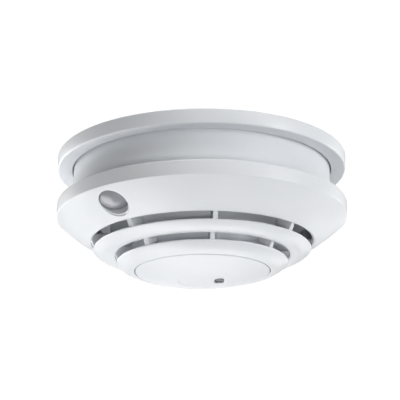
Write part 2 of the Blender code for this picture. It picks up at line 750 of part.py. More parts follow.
def make_sounder():
    place = Matrix.Translation((0.0, SOUNDER_Y, 0.0))
    low = BOARD_Z[0] + GAP
    ledge_z = -16.0 * MM
    cup = [
        (0.0, -8.0 * MM),
        (SOUNDER_R, -8.0 * MM),
        (SOUNDER_R, low),
        (SOUNDER_R - 1.2 * MM, low),
        (SOUNDER_R - 1.2 * MM, ledge_z),
        (SOUNDER_R - 2.3 * MM, ledge_z),
        (SOUNDER_R - 2.3 * MM, -9.2 * MM),
        (0.0, -9.2 * MM),
    ]
    settle(turned("sounder_cup", cup, 28, place), (0.05, 0.05, 0.05), 0.45)
    disc_r = SOUNDER_R - 1.2 * MM - GAP
    disc = [
        (0.0, ledge_z - GAP),
        (disc_r, ledge_z - GAP),
        (disc_r, ledge_z - GAP - 0.5 * MM),
        (0.0, ledge_z - GAP - 0.5 * MM),
    ]
    settle(turned("piezo_disc", disc, 28, place), (0.75, 0.55, 0.2), 0.3, 1.0)
    cap_top = ledge_z - 2 * GAP - 0.5 * MM
    cap = [
        (disc_r, cap_top),
        (disc_r, low),
        (PORT_R - 1.0 * MM, low),
        (PORT_R - 1.0 * MM, low + 1.0 * MM),
        (disc_r - 1.4 * MM, low + 1.0 * MM),
        (disc_r - 1.4 * MM, cap_top),
    ]
    settle(turned("sounder_cap", cap, 28, place), (0.05, 0.05, 0.05), 0.45)


def make_battery():
    half = (BATTERY[0] / 2, BATTERY[1] / 2)
    low_z = BATTERY_TOP_Z - BATTERY[2]
    end_x = BATTERY_X - half[0]
    battery = box("battery", (end_x, BATTERY_Y - half[1], low_z),
                  (BATTERY_X + half[0], BATTERY_Y + half[1], BATTERY_TOP_Z), 1.2 * MM)
    middle_z = (BATTERY_TOP_Z + low_z) / 2
    sideways = Matrix.Rotation(math.radians(90.0), 4, "Y")
    stud_r, socket_r = 2.9 * MM, 3.3 * MM
    stud = [(0.0, 1.0 * MM), (stud_r, 1.0 * MM), (stud_r, -2.4 * MM), (0.0, -2.4 * MM)]
    studs = []
    for offset in STUD_OFFSETS:
        place = Matrix.Translation((end_x, BATTERY_Y + offset, middle_z)) @ sideways
        studs.append(turned("stud", stud, 16, place, CUTTERS))
    combine(battery, gather("battery_studs", studs), "UNION")
    settle(battery, (0.12, 0.13, 0.15), 0.3)

    clip_x = (end_x - 3.6 * MM, end_x - 1.0 * MM)
    clip = box("battery_clip", (clip_x[0], BATTERY_Y - 12.0 * MM, middle_z - 6.0 * MM),
               (clip_x[1], BATTERY_Y + 12.0 * MM, middle_z + 6.0 * MM), 0.5 * MM)
    socket = [(0.0, 2.0 * MM), (socket_r, 2.0 * MM), (socket_r, -2.0 * MM), (0.0, -2.0 * MM)]
    sockets = []
    for offset in STUD_OFFSETS:
        place = Matrix.Translation((clip_x[1], BATTERY_Y + offset, middle_z)) @ sideways
        sockets.append(turned("socket", socket, 16, place, CUTTERS))
    combine(clip, gather("clip_sockets", sockets), "DIFFERENCE")
    settle(clip, (0.04, 0.04, 0.04), 0.5)

    lead_x = clip_x[0] - GAP
    lead_z = -18.2 * MM
    for name, y, colour in (("battery_lead_red", 14.5 * MM, (0.6, 0.02, 0.02)),
                            ("battery_lead_black", 21.5 * MM, (0.02, 0.02, 0.02))):
        path = [
            Vector((lead_x, y, lead_z)),
            Vector((-30.0 * MM, y, lead_z)),
            Vector((-31.5 * MM, y - 3.0 * MM, BOARD_Z[0] + GAP)),
        ]
        settle(wire(name, bend_path(path, 1.8 * MM), 0.6 * MM), colour, 0.45)


# ---------------------------------------------------------------- fasteners

def make_screw(name, spot, head_z, shank_z, head_r, shank_r, downward):
    """A pan-head screw with a cross recess. A downward screw has its head on top."""
    head_h = 1.6 * MM
    length = abs(shank_z - head_z)
    profile = [
        (0.0, head_h),
        (head_r * 0.75, head_h),
        (head_r, head_h * 0.55),
        (head_r, 0.0),
        (shank_r, 0.0),
        (shank_r, -length + shank_r),
        (0.0, -length),
    ]
    flip = Matrix.Identity(4) if downward else Matrix.Rotation(math.pi, 4, "X")
    place = Matrix.Translation((*spot, head_z)) @ flip
    screw = turned(name, profile, 16, place)
    arm, slot = head_r * 0.6, 0.35 * MM
    cross = [
        (arm, -slot), (arm, slot), (slot, slot), (slot, arm), (-slot, arm), (-slot, slot),
        (-arm, slot), (-arm, -slot), (-slot, -slot), (-slot, -arm), (slot, -arm), (slot, -slot),
    ]
    off_edges = place @ Matrix.Rotation(math.radians(9.0), 4, "Z")
    recess = plate(name + "_recess", [cross], head_h - 0.8 * MM, head_h + 1.0 * MM, off_edges, CUTTERS)
    combine(screw, recess, "DIFFERENCE")
    settle(screw, (0.75, 0.75, 0.76), 0.3, 1.0)


def make_screws():
    for number, azimuth in enumerate(CASE_SCREW_AZIMUTHS, start=1):
        spot = polar(CASE_SCREW_R, azimuth)
        make_screw(f"case_screw_{number}", spot, -19.7 * MM, -29.2 * MM, 2.4 * MM, 1.25 * MM, True)
    for number, azimuth in enumerate(BOARD_SCREW_AZIMUTHS, start=1):
        spot = polar(BOARD_SCREW_R, azimuth)
        head_z = GUIDE_TOP_Z - GUIDE_WALL - GAP
        make_screw(f"board_screw_{number}", spot, head_z, -17.0 * MM, 2.4 * MM, 1.25 * MM, False)


# ---------------------------------------------------------------- test button, switch and spring

def dome_z(radius, rise=0.0):
    """Height of the button's dome at a radius, moved up by a rise."""
    sag = BUTTON_EDGE_Z - APEX_Z
    sphere_r = (BUTTON_R ** 2 + sag ** 2) / (2 * sag)
    return APEX_Z + rise + sphere_r - math.sqrt(sphere_r ** 2 - radius ** 2)


def make_button(axis):
    skirt_r = 25.9 * MM
    flange_r = 28.6 * MM
    flange_z = (-44.2 * MM, -45.4 * MM)
    recess = 0.4 * MM
    stem_top = PLUNGER_Z[1] - GAP
    outer = [
        (0.0, stem_top),
        (STEM_R, stem_top),
        (STEM_R, dome_z(STEM_R, BUTTON_WALL)),
        (14.0 * MM, dome_z(14.0 * MM, BUTTON_WALL)),
        (skirt_r - 0.4 * MM, dome_z(skirt_r, BUTTON_WALL)),
        (skirt_r, flange_z[0] - 1.0 * MM),
        (skirt_r, flange_z[0]),
        (flange_r, flange_z[0]),
        (flange_r, flange_z[1]),
        (BUTTON_R, flange_z[1]),
        (BUTTON_R, BUTTON_EDGE_Z + 0.5 * MM),
    ]
    radii = [26.9 * MM, 23.0 * MM, 18.0 * MM, 13.5 * MM, DIMPLE_R]
    outer += [(radius, dome_z(radius)) for radius in radii]
    outer += [(radius, dome_z(radius, recess)) for radius in (DIMPLE_R - recess, 5.5 * MM)]
    outer.append((0.0, dome_z(0.0, recess)))
    button = turned("test_button", outer)
    opening = obround((INSERT_X, 0.0), *INSERT_SIZE)
    seat = plate("insert_seat", [opening], -56.0 * MM, -49.0 * MM, None, CUTTERS)
    combine(button, seat, "DIFFERENCE")
    settle(button, WHITE, 0.35)
    insert_length, insert_width = INSERT_SIZE
    insert = obround((INSERT_X, 0.0), insert_length - 2 * GAP, insert_width - 2 * GAP)
    insert_low = dome_z(INSERT_X, recess)
    window = plate("button_window", [insert], insert_low, insert_low + BUTTON_WALL)
    settle(window, (0.06, 0.06, 0.07), 0.15)
    button.parent = axis
    window.parent = axis


def make_light_pipe():
    collar_low = GUIDE_STEP_Z[0] + GAP
    profile = [
        (0.0, -27.7 * MM),
        (1.5 * MM, -27.7 * MM),
        (1.5 * MM, collar_low + 1.2 * MM),
        (2.6 * MM, collar_low + 1.2 * MM),
        (2.6 * MM, collar_low),
        (1.5 * MM, collar_low),
        (1.5 * MM, -48.5 * MM),
        (0.0, -48.5 * MM),
    ]
    pipe = turned("light_pipe", profile, SMALL_STEPS, Matrix.Translation((INSERT_X, 0.0, 0.0)))
    settle(pipe, (0.8, 0.82, 0.85), 0.1)


def make_switch(axis):
    under = BOARD_Z[1] - GAP
    half = 3.0 * MM
    body = box("tact_switch_body", (-half, -half, SWITCH_LOW_Z), (half, half, under), 0.3 * MM)
    combine(body, cylinder("switch_bore", (0.0, 0.0), 2.0 * MM, -30.0 * MM, -26.9 * MM), "DIFFERENCE")
    settle(body, (0.05, 0.05, 0.05), 0.45)
    profile = [
        (0.0, PLUNGER_Z[0]),
        (1.7 * MM, PLUNGER_Z[0]),
        (1.7 * MM, PLUNGER_Z[1] + 0.3 * MM),
        (1.4 * MM, PLUNGER_Z[1]),
        (0.0, PLUNGER_Z[1]),
    ]
    plunger = turned("switch_plunger", profile, SMALL_STEPS)
    settle(plunger, (0.6, 0.3, 0.05), 0.4)
    plunger.parent = axis


def make_spring():
    """The button's return spring, with closed end turns, round the stem."""
    high = GUIDE_STEP_Z[1] - GAP - SPRING_WIRE_R
    low = dome_z(SPRING_R, BUTTON_WALL) + GAP + SPRING_WIRE_R + 0.1 * MM
    per_turn = 10
    path = []
    for index in range(SPRING_TURNS * per_turn + 1):
        turn = index / per_turn
        share = min(max((turn - 0.75) / (SPRING_TURNS - 1.5), 0.0), 1.0)
        end_rise = SPRING_WIRE_R * 2.2 * (min(turn, 0.75) - 0.75 + max(turn - SPRING_TURNS + 0.75, 0.0))
        height = low + 0.8 * MM + (high - low - 1.6 * MM) * share + end_rise
        x, y = polar(SPRING_R, 360.0 * turn)
        path.append((x, y, height))
    settle(wire("button_spring", path, SPRING_WIRE_R), (0.7, 0.7, 0.72), 0.3, 1.0)


def joint_axis(name, height):
    """An empty on a joint's axis."""
    item = new_object(name, None, PARTS)
    item.location = (0.0, 0.0, height)
    return item


def keep_place_under(axis):
    """Undo a parent's offset, so that its children stay where they were made."""
    bpy.context.view_layer.update()
    for child in axis.children:
        child.matrix_parent_inverse = axis.matrix_world.inverted()


def build():
    joint_axis("head_twist_axis", 0.0)
    press_axis = joint_axis("button_press_axis", BUTTON_EDGE_Z)
    plunger_axis = joint_axis("switch_plunger_axis", PLUNGER_Z[0])
    make_mounting_base()
    make_base_housing()
    make_front_cover()
    make_air_guide()
    make_thermistor()
    make_window()
    make_board()
    make_sounder()
    make_battery()
    make_screws()
    make_button(press_axis)
    make_light_pipe()
    make_switch(plunger_axis)
    make_spring()
    keep_place_under(press_axis)
    keep_place_under(plunger_axis)


build()
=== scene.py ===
"""Looks for the ceiling heat detector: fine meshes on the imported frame, materials, light, camera."""
import math

import bmesh
import bpy
from mathutils import Matrix, Vector


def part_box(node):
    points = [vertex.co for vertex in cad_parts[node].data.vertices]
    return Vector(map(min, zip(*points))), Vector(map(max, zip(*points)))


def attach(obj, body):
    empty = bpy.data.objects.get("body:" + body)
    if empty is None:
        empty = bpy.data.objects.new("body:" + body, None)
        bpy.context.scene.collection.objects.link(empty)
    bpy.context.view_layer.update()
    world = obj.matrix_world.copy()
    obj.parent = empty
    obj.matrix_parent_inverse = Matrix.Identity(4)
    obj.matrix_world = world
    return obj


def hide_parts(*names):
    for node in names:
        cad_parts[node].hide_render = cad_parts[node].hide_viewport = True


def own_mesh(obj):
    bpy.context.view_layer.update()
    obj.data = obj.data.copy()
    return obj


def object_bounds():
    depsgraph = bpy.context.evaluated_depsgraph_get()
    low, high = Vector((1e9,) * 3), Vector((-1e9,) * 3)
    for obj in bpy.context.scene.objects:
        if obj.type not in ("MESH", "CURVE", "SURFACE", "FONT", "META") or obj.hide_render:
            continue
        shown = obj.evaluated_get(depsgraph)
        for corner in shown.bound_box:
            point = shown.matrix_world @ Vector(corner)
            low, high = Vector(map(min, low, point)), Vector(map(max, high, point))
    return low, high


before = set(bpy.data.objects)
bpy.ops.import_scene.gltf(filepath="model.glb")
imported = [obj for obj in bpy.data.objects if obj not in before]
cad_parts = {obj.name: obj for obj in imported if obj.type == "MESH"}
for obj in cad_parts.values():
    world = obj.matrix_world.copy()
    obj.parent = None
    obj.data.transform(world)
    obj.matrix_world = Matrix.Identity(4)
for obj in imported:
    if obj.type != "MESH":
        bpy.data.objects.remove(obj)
cad_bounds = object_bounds()

MM = 0.001
GAP = 0.3 * MM                  # between pieces that fit into each other
STEPS = 192                     # facets of the large turned pieces
FINE_STEPS = 64                 # facets of the lens and its port
ROD_STEPS = 32                  # facets of small bosses and holes
WELD = 0.000002
ROUND_ABOVE = math.radians(40.0)            # edges sharper than this are rounded
SHARP_ABOVE = math.radians(32.0)            # edges sharper than this stay sharp in shading
CARRIED_SHARP_ABOVE = math.radians(35.0)    # the same, on the CAD nodes that are kept


def low_of(node):
    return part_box(node)[0]


def high_of(node):
    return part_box(node)[1]


# ---------------------------------------------------------------- sizes, from the frame if it has them

# Mounting base
FLANGE_R = high_of("mounting_base").x
HOOK_LOW_Z = low_of("mounting_base").z
FLANGE_LOW_Z = HOOK_LOW_Z + 1.7 * MM
RIM_IN_R = 54.0 * MM
WEB_T = 2.4 * MM
WEB_RECESS_R = (16.0 * MM, 51.5 * MM)
WEB_FLOOR_Z = -0.8 * MM
WEB_RIBS = 8
RIB_TOP_Z = -0.1 * MM
CHANNEL_R = (55.6 * MM, 58.2 * MM)
CHANNEL_FLOOR_Z = -4.3 * MM
CHANNEL_RIBS = 12
HOOK_AZIMUTHS = (90.0, 210.0, 330.0)
HOOK_LEG_R = (46.0 * MM, 48.0 * MM)
HOOK_FOOT_R = 42.0 * MM
HOOK_FOOT_T = 1.4 * MM
HOOK_HALF_WIDTH = 5.0 * MM
SLOT_AZIMUTHS = (0.0, 180.0, 270.0)
SLOT_R = 33.0 * MM
SLOT_SIZE = (13.0 * MM, 4.6 * MM)
PAD_SIZE = (18.0 * MM, 9.6 * MM)
CABLE_Y = 24.0 * MM
CABLE_HALF = (10.0 * MM, 6.0 * MM)
CABLE_FRAME_HALF = (11.5 * MM, 7.5 * MM)

# Base housing. A rod is given as radius, low end, high end.
NECK_R = 53.4 * MM
SHELF_R = high_of("base_housing").x
DECK_Z = high_of("base_housing").z
HOUSING_WALL = 1.8 * MM
SHELF_TOP_Z = DECK_Z - 15.9 * MM
SHELF_LOW_Z = SHELF_TOP_Z - HOUSING_WALL
IN_DECK_Z = -5.0 * MM
ABOVE_DECK_Z = -3.0 * MM
PILLAR = (3.9 * MM, -22.5 * MM, IN_DECK_Z)
PILLAR_HEAD_BORE = (2.9 * MM, -20.0 * MM, ABOVE_DECK_Z)
PILLAR_PASSAGE = (1.7 * MM, -23.5 * MM, -19.5 * MM)
POST = (3.0 * MM, -23.7 * MM, IN_DECK_Z)
POST_BORE = (1.5 * MM, -24.5 * MM, -14.0 * MM)
TRAY_X = (-25.2 * MM, 28.7 * MM)
TRAY_WALL = 1.2 * MM
TRAY_FLOOR_Z = (-22.4 * MM, -23.5 * MM)
LEAD_NOTCH = ((-27.5 * MM, 11.0 * MM, -19.4 * MM), (-24.6 * MM, 25.0 * MM, -17.0 * MM))
KEYHOLE_R = (41.2 * MM, 45.3 * MM, 49.3 * MM)   # inside of the wide end, of the narrow end, outside
KEYHOLE_TURN = (-7.6, 10.0, 26.2)               # narrow end, step, wide end, degrees past the hook
CASE_SCREW_R = 49.5 * MM
CASE_SCREW_AZIMUTHS = (30.0, 150.0, 270.0)
BOARD_SCREW_R = 42.0 * MM
BOARD_SCREW_AZIMUTHS = (60.0, 180.0, 300.0)

# Front cover
BODY_R = high_of("front_cover").x
BODY_TOP_Z = high_of("front_cover").z
BAND_LOW_Z = BODY_TOP_Z - 6.1 * MM
CONE_LOW = (46.0 * MM, BODY_TOP_Z - 16.5 * MM)
CONE_BULGE = 0.35 * MM
COVER_WALL = 2.0 * MM
RING1_OUT = (44.7 * MM, BODY_TOP_Z - 19.4 * MM)
RING1_IN = (35.8 * MM, BODY_TOP_Z - 21.7 * MM)
RING2_OUT = (35.1 * MM, BODY_TOP_Z - 24.7 * MM)
RING2_IN = (27.9 * MM, BODY_TOP_Z - 28.1 * MM)
RING1_SHAPE = (1.0 * MM, 1.7 * MM)              # bulge, thickness
RING2_SHAPE = (0.7 * MM, 2.0 * MM)
BOSS = (2.8 * MM, -31.0 * MM, -23.0 * MM)
BOSS_BORE = (1.5 * MM, -30.0 * MM, -22.0 * MM)
FIN_FIRST = -83.5
FIN_COUNT = 8
FIN_T = 2.0 * MM

# Side window
WINDOW_AZIMUTH = -129.5
WINDOW_R = 53.2 * MM
WINDOW_DISH_R = 6.8 * MM
WINDOW_SINK = 0.6 * MM
WINDOW_AIM = (-92.0, 60.0)                      # the bore's azimuth, and degrees below level
WINDOW_HOLE_R = 5.8 * MM
WINDOW_TUBE = (7.0 * MM, 4.6 * MM)              # outer radius, depth
LENS_SPHERE_R = 11.0 * MM
LENS_TOP_DEPTH = 1.2 * MM
LENS_FLANGE = (6.3 * MM, 5.3 * MM, 0.6 * MM)    # radius, depth, thickness

# Air guide
GUIDE_R = 38.0 * MM
GUIDE_LOW_R = 29.0 * MM
GUIDE_FLANGE_R = high_of("air_guide").x
GUIDE_TOP_Z = high_of("air_guide").z
GUIDE_LOW_Z = low_of("air_guide").z
GUIDE_STEP_Z = (GUIDE_TOP_Z - 11.1 * MM, GUIDE_TOP_Z - 12.3 * MM)
GUIDE_WALL = 1.2 * MM
GUIDE_PIPE_RIM_R = 3.2 * MM
FLANGE_HOLE = (1.6 * MM, -28.0 * MM, -25.0 * MM)
THERMISTOR_HOLE = (1.9 * MM, -39.0 * MM, -36.0 * MM)
PIPE_HOLE = (2.0 * MM, -39.0 * MM, -36.0 * MM)
PORT_HALF_WIDTH = 5.0 * MM
PORT_Z = (-32.0 * MM, -29.0 * MM)
PORT_CUT_R = (35.0 * MM, 40.0 * MM)

# Test button
BUTTON_R = 27.5 * MM
BUTTON_EDGE_Z = RING2_IN[1] - 0.1 * MM
BUTTON_SAG = 4.4 * MM
BUTTON_WALL = 1.6 * MM
BUTTON_FLANGE_R = high_of("test_button").x
BUTTON_FLANGE_Z = (-44.2 * MM, -45.4 * MM)
SKIRT_R = 25.9 * MM
STEM_R = 2.5 * MM
STEM_TOP_Z = high_of("test_button").z
DIMPLE_R = 9.9 * MM
DIMPLE_DEPTH = 0.4 * MM
INSERT_X = 6.8 * MM
INSERT_SIZE = (7.8 * MM, 3.9 * MM)

# Return spring
SPRING_R = 4.2 * MM
SPRING_WIRE_R = 0.35 * MM
SPRING_TURNS = 5
SPRING_CLOSED_TURN = 0.75                       # of each end, where the turns lie close


# ---------------------------------------------------------------- mesh tools

def polar(radius, azimuth):
    angle = math.radians(azimuth)
    return radius * math.cos(angle), radius * math.sin(angle)


def arc(centre, radius, start, end, count):
    points = []
    for index in range(count + 1):
        angle = math.radians(start + (end - start) * index / count)
        points.append((centre[0] + radius * math.cos(angle), centre[1] + radius * math.sin(angle)))
    return points


def bowed(start, end, rise, count):
    """Points from start to end, pushed sideways by a parabola of the given rise."""
    along = Vector(end) - Vector(start)
    side = Vector((along.y, -along.x)).normalized()
    points = []
    for index in range(count + 1):
        share = index / count
        point = Vector(start) + along * share - side * rise * 4.0 * share * (1.0 - share)
        points.append((point.x, point.y))
    return points


def rounded(corners, closed, count=5):
    """A profile from (radius, height, fillet) corners. Each fillet is a true arc between its sides."""
    profile = []
    total = len(corners)
    for index, (x, y, fillet) in enumerate(corners):
        corner = Vector((x, y))
        if fillet == 0.0 or (not closed and index in (0, total - 1)):
            profile.append((x, y))
            continue
        before = Vector(corners[index - 1][:2]) - corner
        after = Vector(corners[(index + 1) % total][:2]) - corner
        half = before.angle(after) / 2
        reach = min(fillet / math.tan(half), before.length * 0.49, after.length * 0.49)
        radius = reach * math.tan(half)
        start = corner + before.normalized() * reach
        end = corner + after.normalized() * reach
        inward = (before.normalized() + after.normalized()).normalized()
        centre = corner + inward * (radius / math.sin(half))
        first = math.atan2(start.y - centre.y, start.x - centre.x)
        sweep = math.atan2(end.y - centre.y, end.x - centre.x) - first
        sweep = (sweep + math.pi) % (2 * math.pi) - math.pi
        for step in range(count + 1):
            angle = first + sweep * step / count
            profile.append((centre.x + radius * math.cos(angle), centre.y + radius * math.sin(angle)))
    return profile


def new_object(name, mesh):
    item = bpy.data.objects.new(name, mesh)
    bpy.context.scene.collection.objects.link(item)
    return item


def lathe(name, profile, steps=STEPS, place=None):
    """Turn a profile about Z. It runs down its outer side; ends on the axis stay open, others close."""
    work = bmesh.new()
    rings = []
    for radius, height in profile:
        if radius < WELD:
            rings.append([work.verts.new((0.0, 0.0, height))] * steps)
            continue
        ring = []
        for index in range(steps):
            angle = 2 * math.pi * index / steps
            ring.append(work.verts.new((radius * math.cos(angle), radius * math.sin(angle), height)))
        rings.append(ring)
    pairs = list(zip(rings, rings[1:]))
    if profile[0][0] >= WELD or profile[-1][0] >= WELD:
        pairs.append((rings[-1], rings[0]))
    for upper, lower in pairs:
        for index in range(steps):
            after = (index + 1) % steps
            corners = [upper[index], lower[index], lower[after], upper[after]]
            unique = list(dict.fromkeys(corners))
            work.faces.new(unique)
    mesh = bpy.data.meshes.new(name)
    work.to_mesh(mesh)
    work.free()
    if place is not None:
        mesh.transform(place)
    return new_object(name, mesh)


def slab(name, outline, low, high, place=None):
    """A flat-sided solid over an outline in XY, between two heights."""
    work = bmesh.new()
    bottom = [work.verts.new((x, y, low)) for x, y in outline]
    top = [work.verts.new((x, y, high)) for x, y in outline]
    count = len(outline)
    work.faces.new(list(reversed(bottom)))
    work.faces.new(top)
    for index in range(count):
        after = (index + 1) % count
        work.faces.new([bottom[index], bottom[after], top[after], top[index]])
    bmesh.ops.recalc_face_normals(work, faces=work.faces)
    mesh = bpy.data.meshes.new(name)
    work.to_mesh(mesh)
    work.free()
    if place is not None:
        mesh.transform(place)
    return new_object(name, mesh)


def block(name, low, high, bevel=0.0):
    item = slab(name, rectangle(low, high), low[2], high[2])
    if bevel > 0.0:
        soften(item, bevel)
    return item


def soften(item, width, segments=3):
    """Round every sharp edge."""
    rounding = item.modifiers.new("Round", "BEVEL")
    rounding.width = width
    rounding.segments = segments
    rounding.limit_method = "ANGLE"
    rounding.angle_limit = ROUND_ABOVE
    rounding.use_clamp_overlap = True
    return item


def rod(name, spot, radius, low, high):
    profile = [(0.0, high), (radius, high), (radius, low), (0.0, low)]
    return lathe(name, profile, ROD_STEPS, Matrix.Translation((*spot, 0.0)))


def gather(name, items):
    """Join separate solids into one object."""
    bpy.context.view_layer.update()
    depsgraph = bpy.context.evaluated_depsgraph_get()
    work = bmesh.new()
    for item in items:
        mesh = bpy.data.meshes.new_from_object(item.evaluated_get(depsgraph))
        work.from_mesh(mesh)
        bpy.data.meshes.remove(mesh)
        bpy.data.objects.remove(item, do_unlink=True)
    mesh = bpy.data.meshes.new(name)
    work.to_mesh(mesh)
    work.free()
    return new_object(name, mesh)


def combine(item, other, operation):
    """Apply a Boolean at once and drop the other object."""
    boolean = item.modifiers.new("Boolean", "BOOLEAN")
    boolean.operation = operation
    boolean.solver = "EXACT"
    boolean.object = other
    apply_modifiers(item)
    bpy.data.objects.remove(other, do_unlink=True)


def apply_modifiers(item):
    bpy.context.view_layer.update()
    depsgraph = bpy.context.evaluated_depsgraph_get()
    mesh = bpy.data.meshes.new_from_object(item.evaluated_get(depsgraph))
    item.modifiers.clear()
    item.data = mesh


def finish_piece(item, material, body, node):
    """Shade a piece, give it its material and hang it on its body in place of its CAD node."""
    apply_modifiers(item)
    item.data.shade_smooth()
    item.data.set_sharp_from_angle(angle=SHARP_ABOVE)
    item.data.materials.clear()
    item.data.materials.append(material)
    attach(item, body)
    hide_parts(node)


def upright(azimuth):
    """The turn that stands a slab drawn in (radius, height) up along an azimuth."""
    turn = Matrix.Rotation(math.radians(azimuth), 4, "Z")
    return turn @ Matrix.Rotation(math.radians(90.0), 4, "X")


def rectangle(low, high):
    """An outline between two corners."""
    return [(low[0], low[1]), (high[0], low[1]), (high[0], high[1]), (low[0], high[1])]


def obround(centre, length, width):
    """A slot outline that is long in Y."""
    count = 12
    half = (length - width) / 2
    top = arc((centre[0], centre[1] + half), width / 2, 0.0, 180.0, count)
    bottom = arc((centre[0], centre[1] - half), width / 2, 180.0, 360.0, count)
    return top + bottom


# ---------------------------------------------------------------- materials

NOISE_BAND = (0.3, 0.7)         # where nearly all noise values lie
WHITE = (0.78, 0.80, 0.825)
WHITE_DARK = (0.757, 0.777, 0.803)


class Nodes:
    """A short way to write a material's node tree."""

    def __init__(self, name):
        self.material = bpy.data.materials.new(name)
        self.material.use_nodes = True
        self.tree = self.material.node_tree
        self.shader = self.tree.nodes["Principled BSDF"]

    def add(self, kind, **settings):
        node = self.tree.nodes.new(kind)
        for key, value in settings.items():
            if key in node.inputs:
                node.inputs[key].default_value = value
            else:
                setattr(node, key, value)
        return node

    def link(self, source, target):
        self.tree.links.new(source, target)

    def place(self):
        return self.add("ShaderNodeTexCoord").outputs["Object"]

    def noise(self, scale, detail=3.0, stretch=None):
        """A noise value in the piece's own space, stretched along an axis if asked."""
        texture = self.add("ShaderNodeTexNoise", Scale=scale, Detail=detail)
        source = self.place()
        if stretch is not None:
            mapping = self.add("ShaderNodeMapping")
            mapping.inputs["Scale"].default_value = stretch
            self.link(source, mapping.inputs["Vector"])
            source = mapping.outputs["Vector"]
        self.link(source, texture.inputs["Vector"])
        return texture.outputs["Fac"]

    def remap(self, value, low, high, out_low, out_high):
        node = self.add("ShaderNodeMapRange")
        node.inputs["From Min"].default_value = low
        node.inputs["From Max"].default_value = high
        node.inputs["To Min"].default_value = out_low
        node.inputs["To Max"].default_value = out_high
        self.link(value, node.inputs["Value"])
        return node.outputs["Result"]

    def tint(self, value, dark, light):
        ramp = self.add("ShaderNodeValToRGB")
        ramp.color_ramp.elements[0].color = (*dark, 1.0)
        ramp.color_ramp.elements[1].color = (*light, 1.0)
        ramp.color_ramp.elements[0].position = NOISE_BAND[0]
        ramp.color_ramp.elements[1].position = NOISE_BAND[1]
        self.link(value, ramp.inputs["Fac"])
        return ramp.outputs["Color"]

    def bump(self, value, distance):
        node = self.add("ShaderNodeBump", Strength=1.0, Distance=distance)
        self.link(value, node.inputs["Height"])
        self.link(node.outputs["Normal"], self.shader.inputs["Normal"])


def moulded(name, light, dark, roughness, grain=0.0000015, grain_scale=2600.0, spread=0.05):
    """Moulded plastic: slow colour drift, a fine spark-eroded grain and uneven gloss."""
    nodes = Nodes(name)
    nodes.link(nodes.tint(nodes.noise(45.0), dark, light), nodes.shader.inputs["Base Color"])
    gloss = nodes.remap(nodes.noise(160.0, 4.0), *NOISE_BAND, roughness - spread, roughness + spread)
    nodes.link(gloss, nodes.shader.inputs["Roughness"])
    nodes.bump(nodes.noise(grain_scale, 2.0), grain)
    return nodes.material


def metal(name, colour, dark, roughness):
    """Plain or plated metal with drawn or turned marks."""
    nodes = Nodes(name)
    nodes.shader.inputs["Metallic"].default_value = 1.0
    nodes.link(nodes.tint(nodes.noise(120.0), dark, colour), nodes.shader.inputs["Base Color"])
    marks = nodes.noise(900.0, 4.0, (1.0, 1.0, 12.0))
    gloss = nodes.remap(marks, *NOISE_BAND, roughness - 0.08, roughness + 0.12)
    nodes.link(gloss, nodes.shader.inputs["Roughness"])
    nodes.bump(marks, 0.00001)
    return nodes.material


cover_white = moulded("cover_white", WHITE, WHITE_DARK, 0.35)
button_white = moulded("button_white", WHITE, WHITE_DARK, 0.35)
housing_white = moulded("housing_white", WHITE, WHITE_DARK, 0.35)
base_white = moulded("base_white", WHITE, WHITE_DARK, 0.36, 0.000002)
guide_grey = moulded("guide_grey", (0.74, 0.755, 0.79), (0.67, 0.69, 0.73), 0.34, 0.000002)
black_plastic = moulded("black_plastic", (0.035, 0.035, 0.037), (0.02, 0.02, 0.02), 0.48, 0.00001)
smoked = moulded("smoked_plastic", (0.09, 0.09, 0.1), (0.06, 0.06, 0.065), 0.16, 0.000001, 1500.0, 0.03)


def lens_material():
    """Satin grey lens under a thin clear coat."""
    nodes = Nodes("window_lens_smoke")
    nodes.link(nodes.tint(nodes.noise(90.0), (0.26, 0.265, 0.285), (0.33, 0.335, 0.36)),
               nodes.shader.inputs["Base Color"])
    gloss = nodes.remap(nodes.noise(400.0), *NOISE_BAND, 0.3, 0.36)
    nodes.link(gloss, nodes.shader.inputs["Roughness"])
    nodes.shader.inputs["Coat Weight"].default_value = 0.6
    nodes.shader.inputs["Coat Roughness"].default_value = 0.12
    return nodes.material


def board_material():
    """Green solder mask over faint copper tracks."""
    nodes = Nodes("board_green")
    tracks = nodes.add("ShaderNodeTexVoronoi", feature="DISTANCE_TO_EDGE", Scale=420.0)
    nodes.link(nodes.place(), tracks.inputs["Vector"])
    line = nodes.remap(tracks.outputs["Distance"], 0.03, 0.09, 1.0, 0.0)
    nodes.link(nodes.tint(line, (0.015, 0.13, 0.045), (0.04, 0.26, 0.1)),
               nodes.shader.inputs["Base Color"])
    gloss = nodes.remap(nodes.noise(500.0), *NOISE_BAND, 0.25, 0.4)
    nodes.link(gloss, nodes.shader.inputs["Roughness"])
    nodes.bump(line, 0.00003)
    return nodes.material


lens_smoke = lens_material()
spring_steel = metal("spring_steel", (0.7, 0.7, 0.72), (0.5, 0.5, 0.53), 0.28)

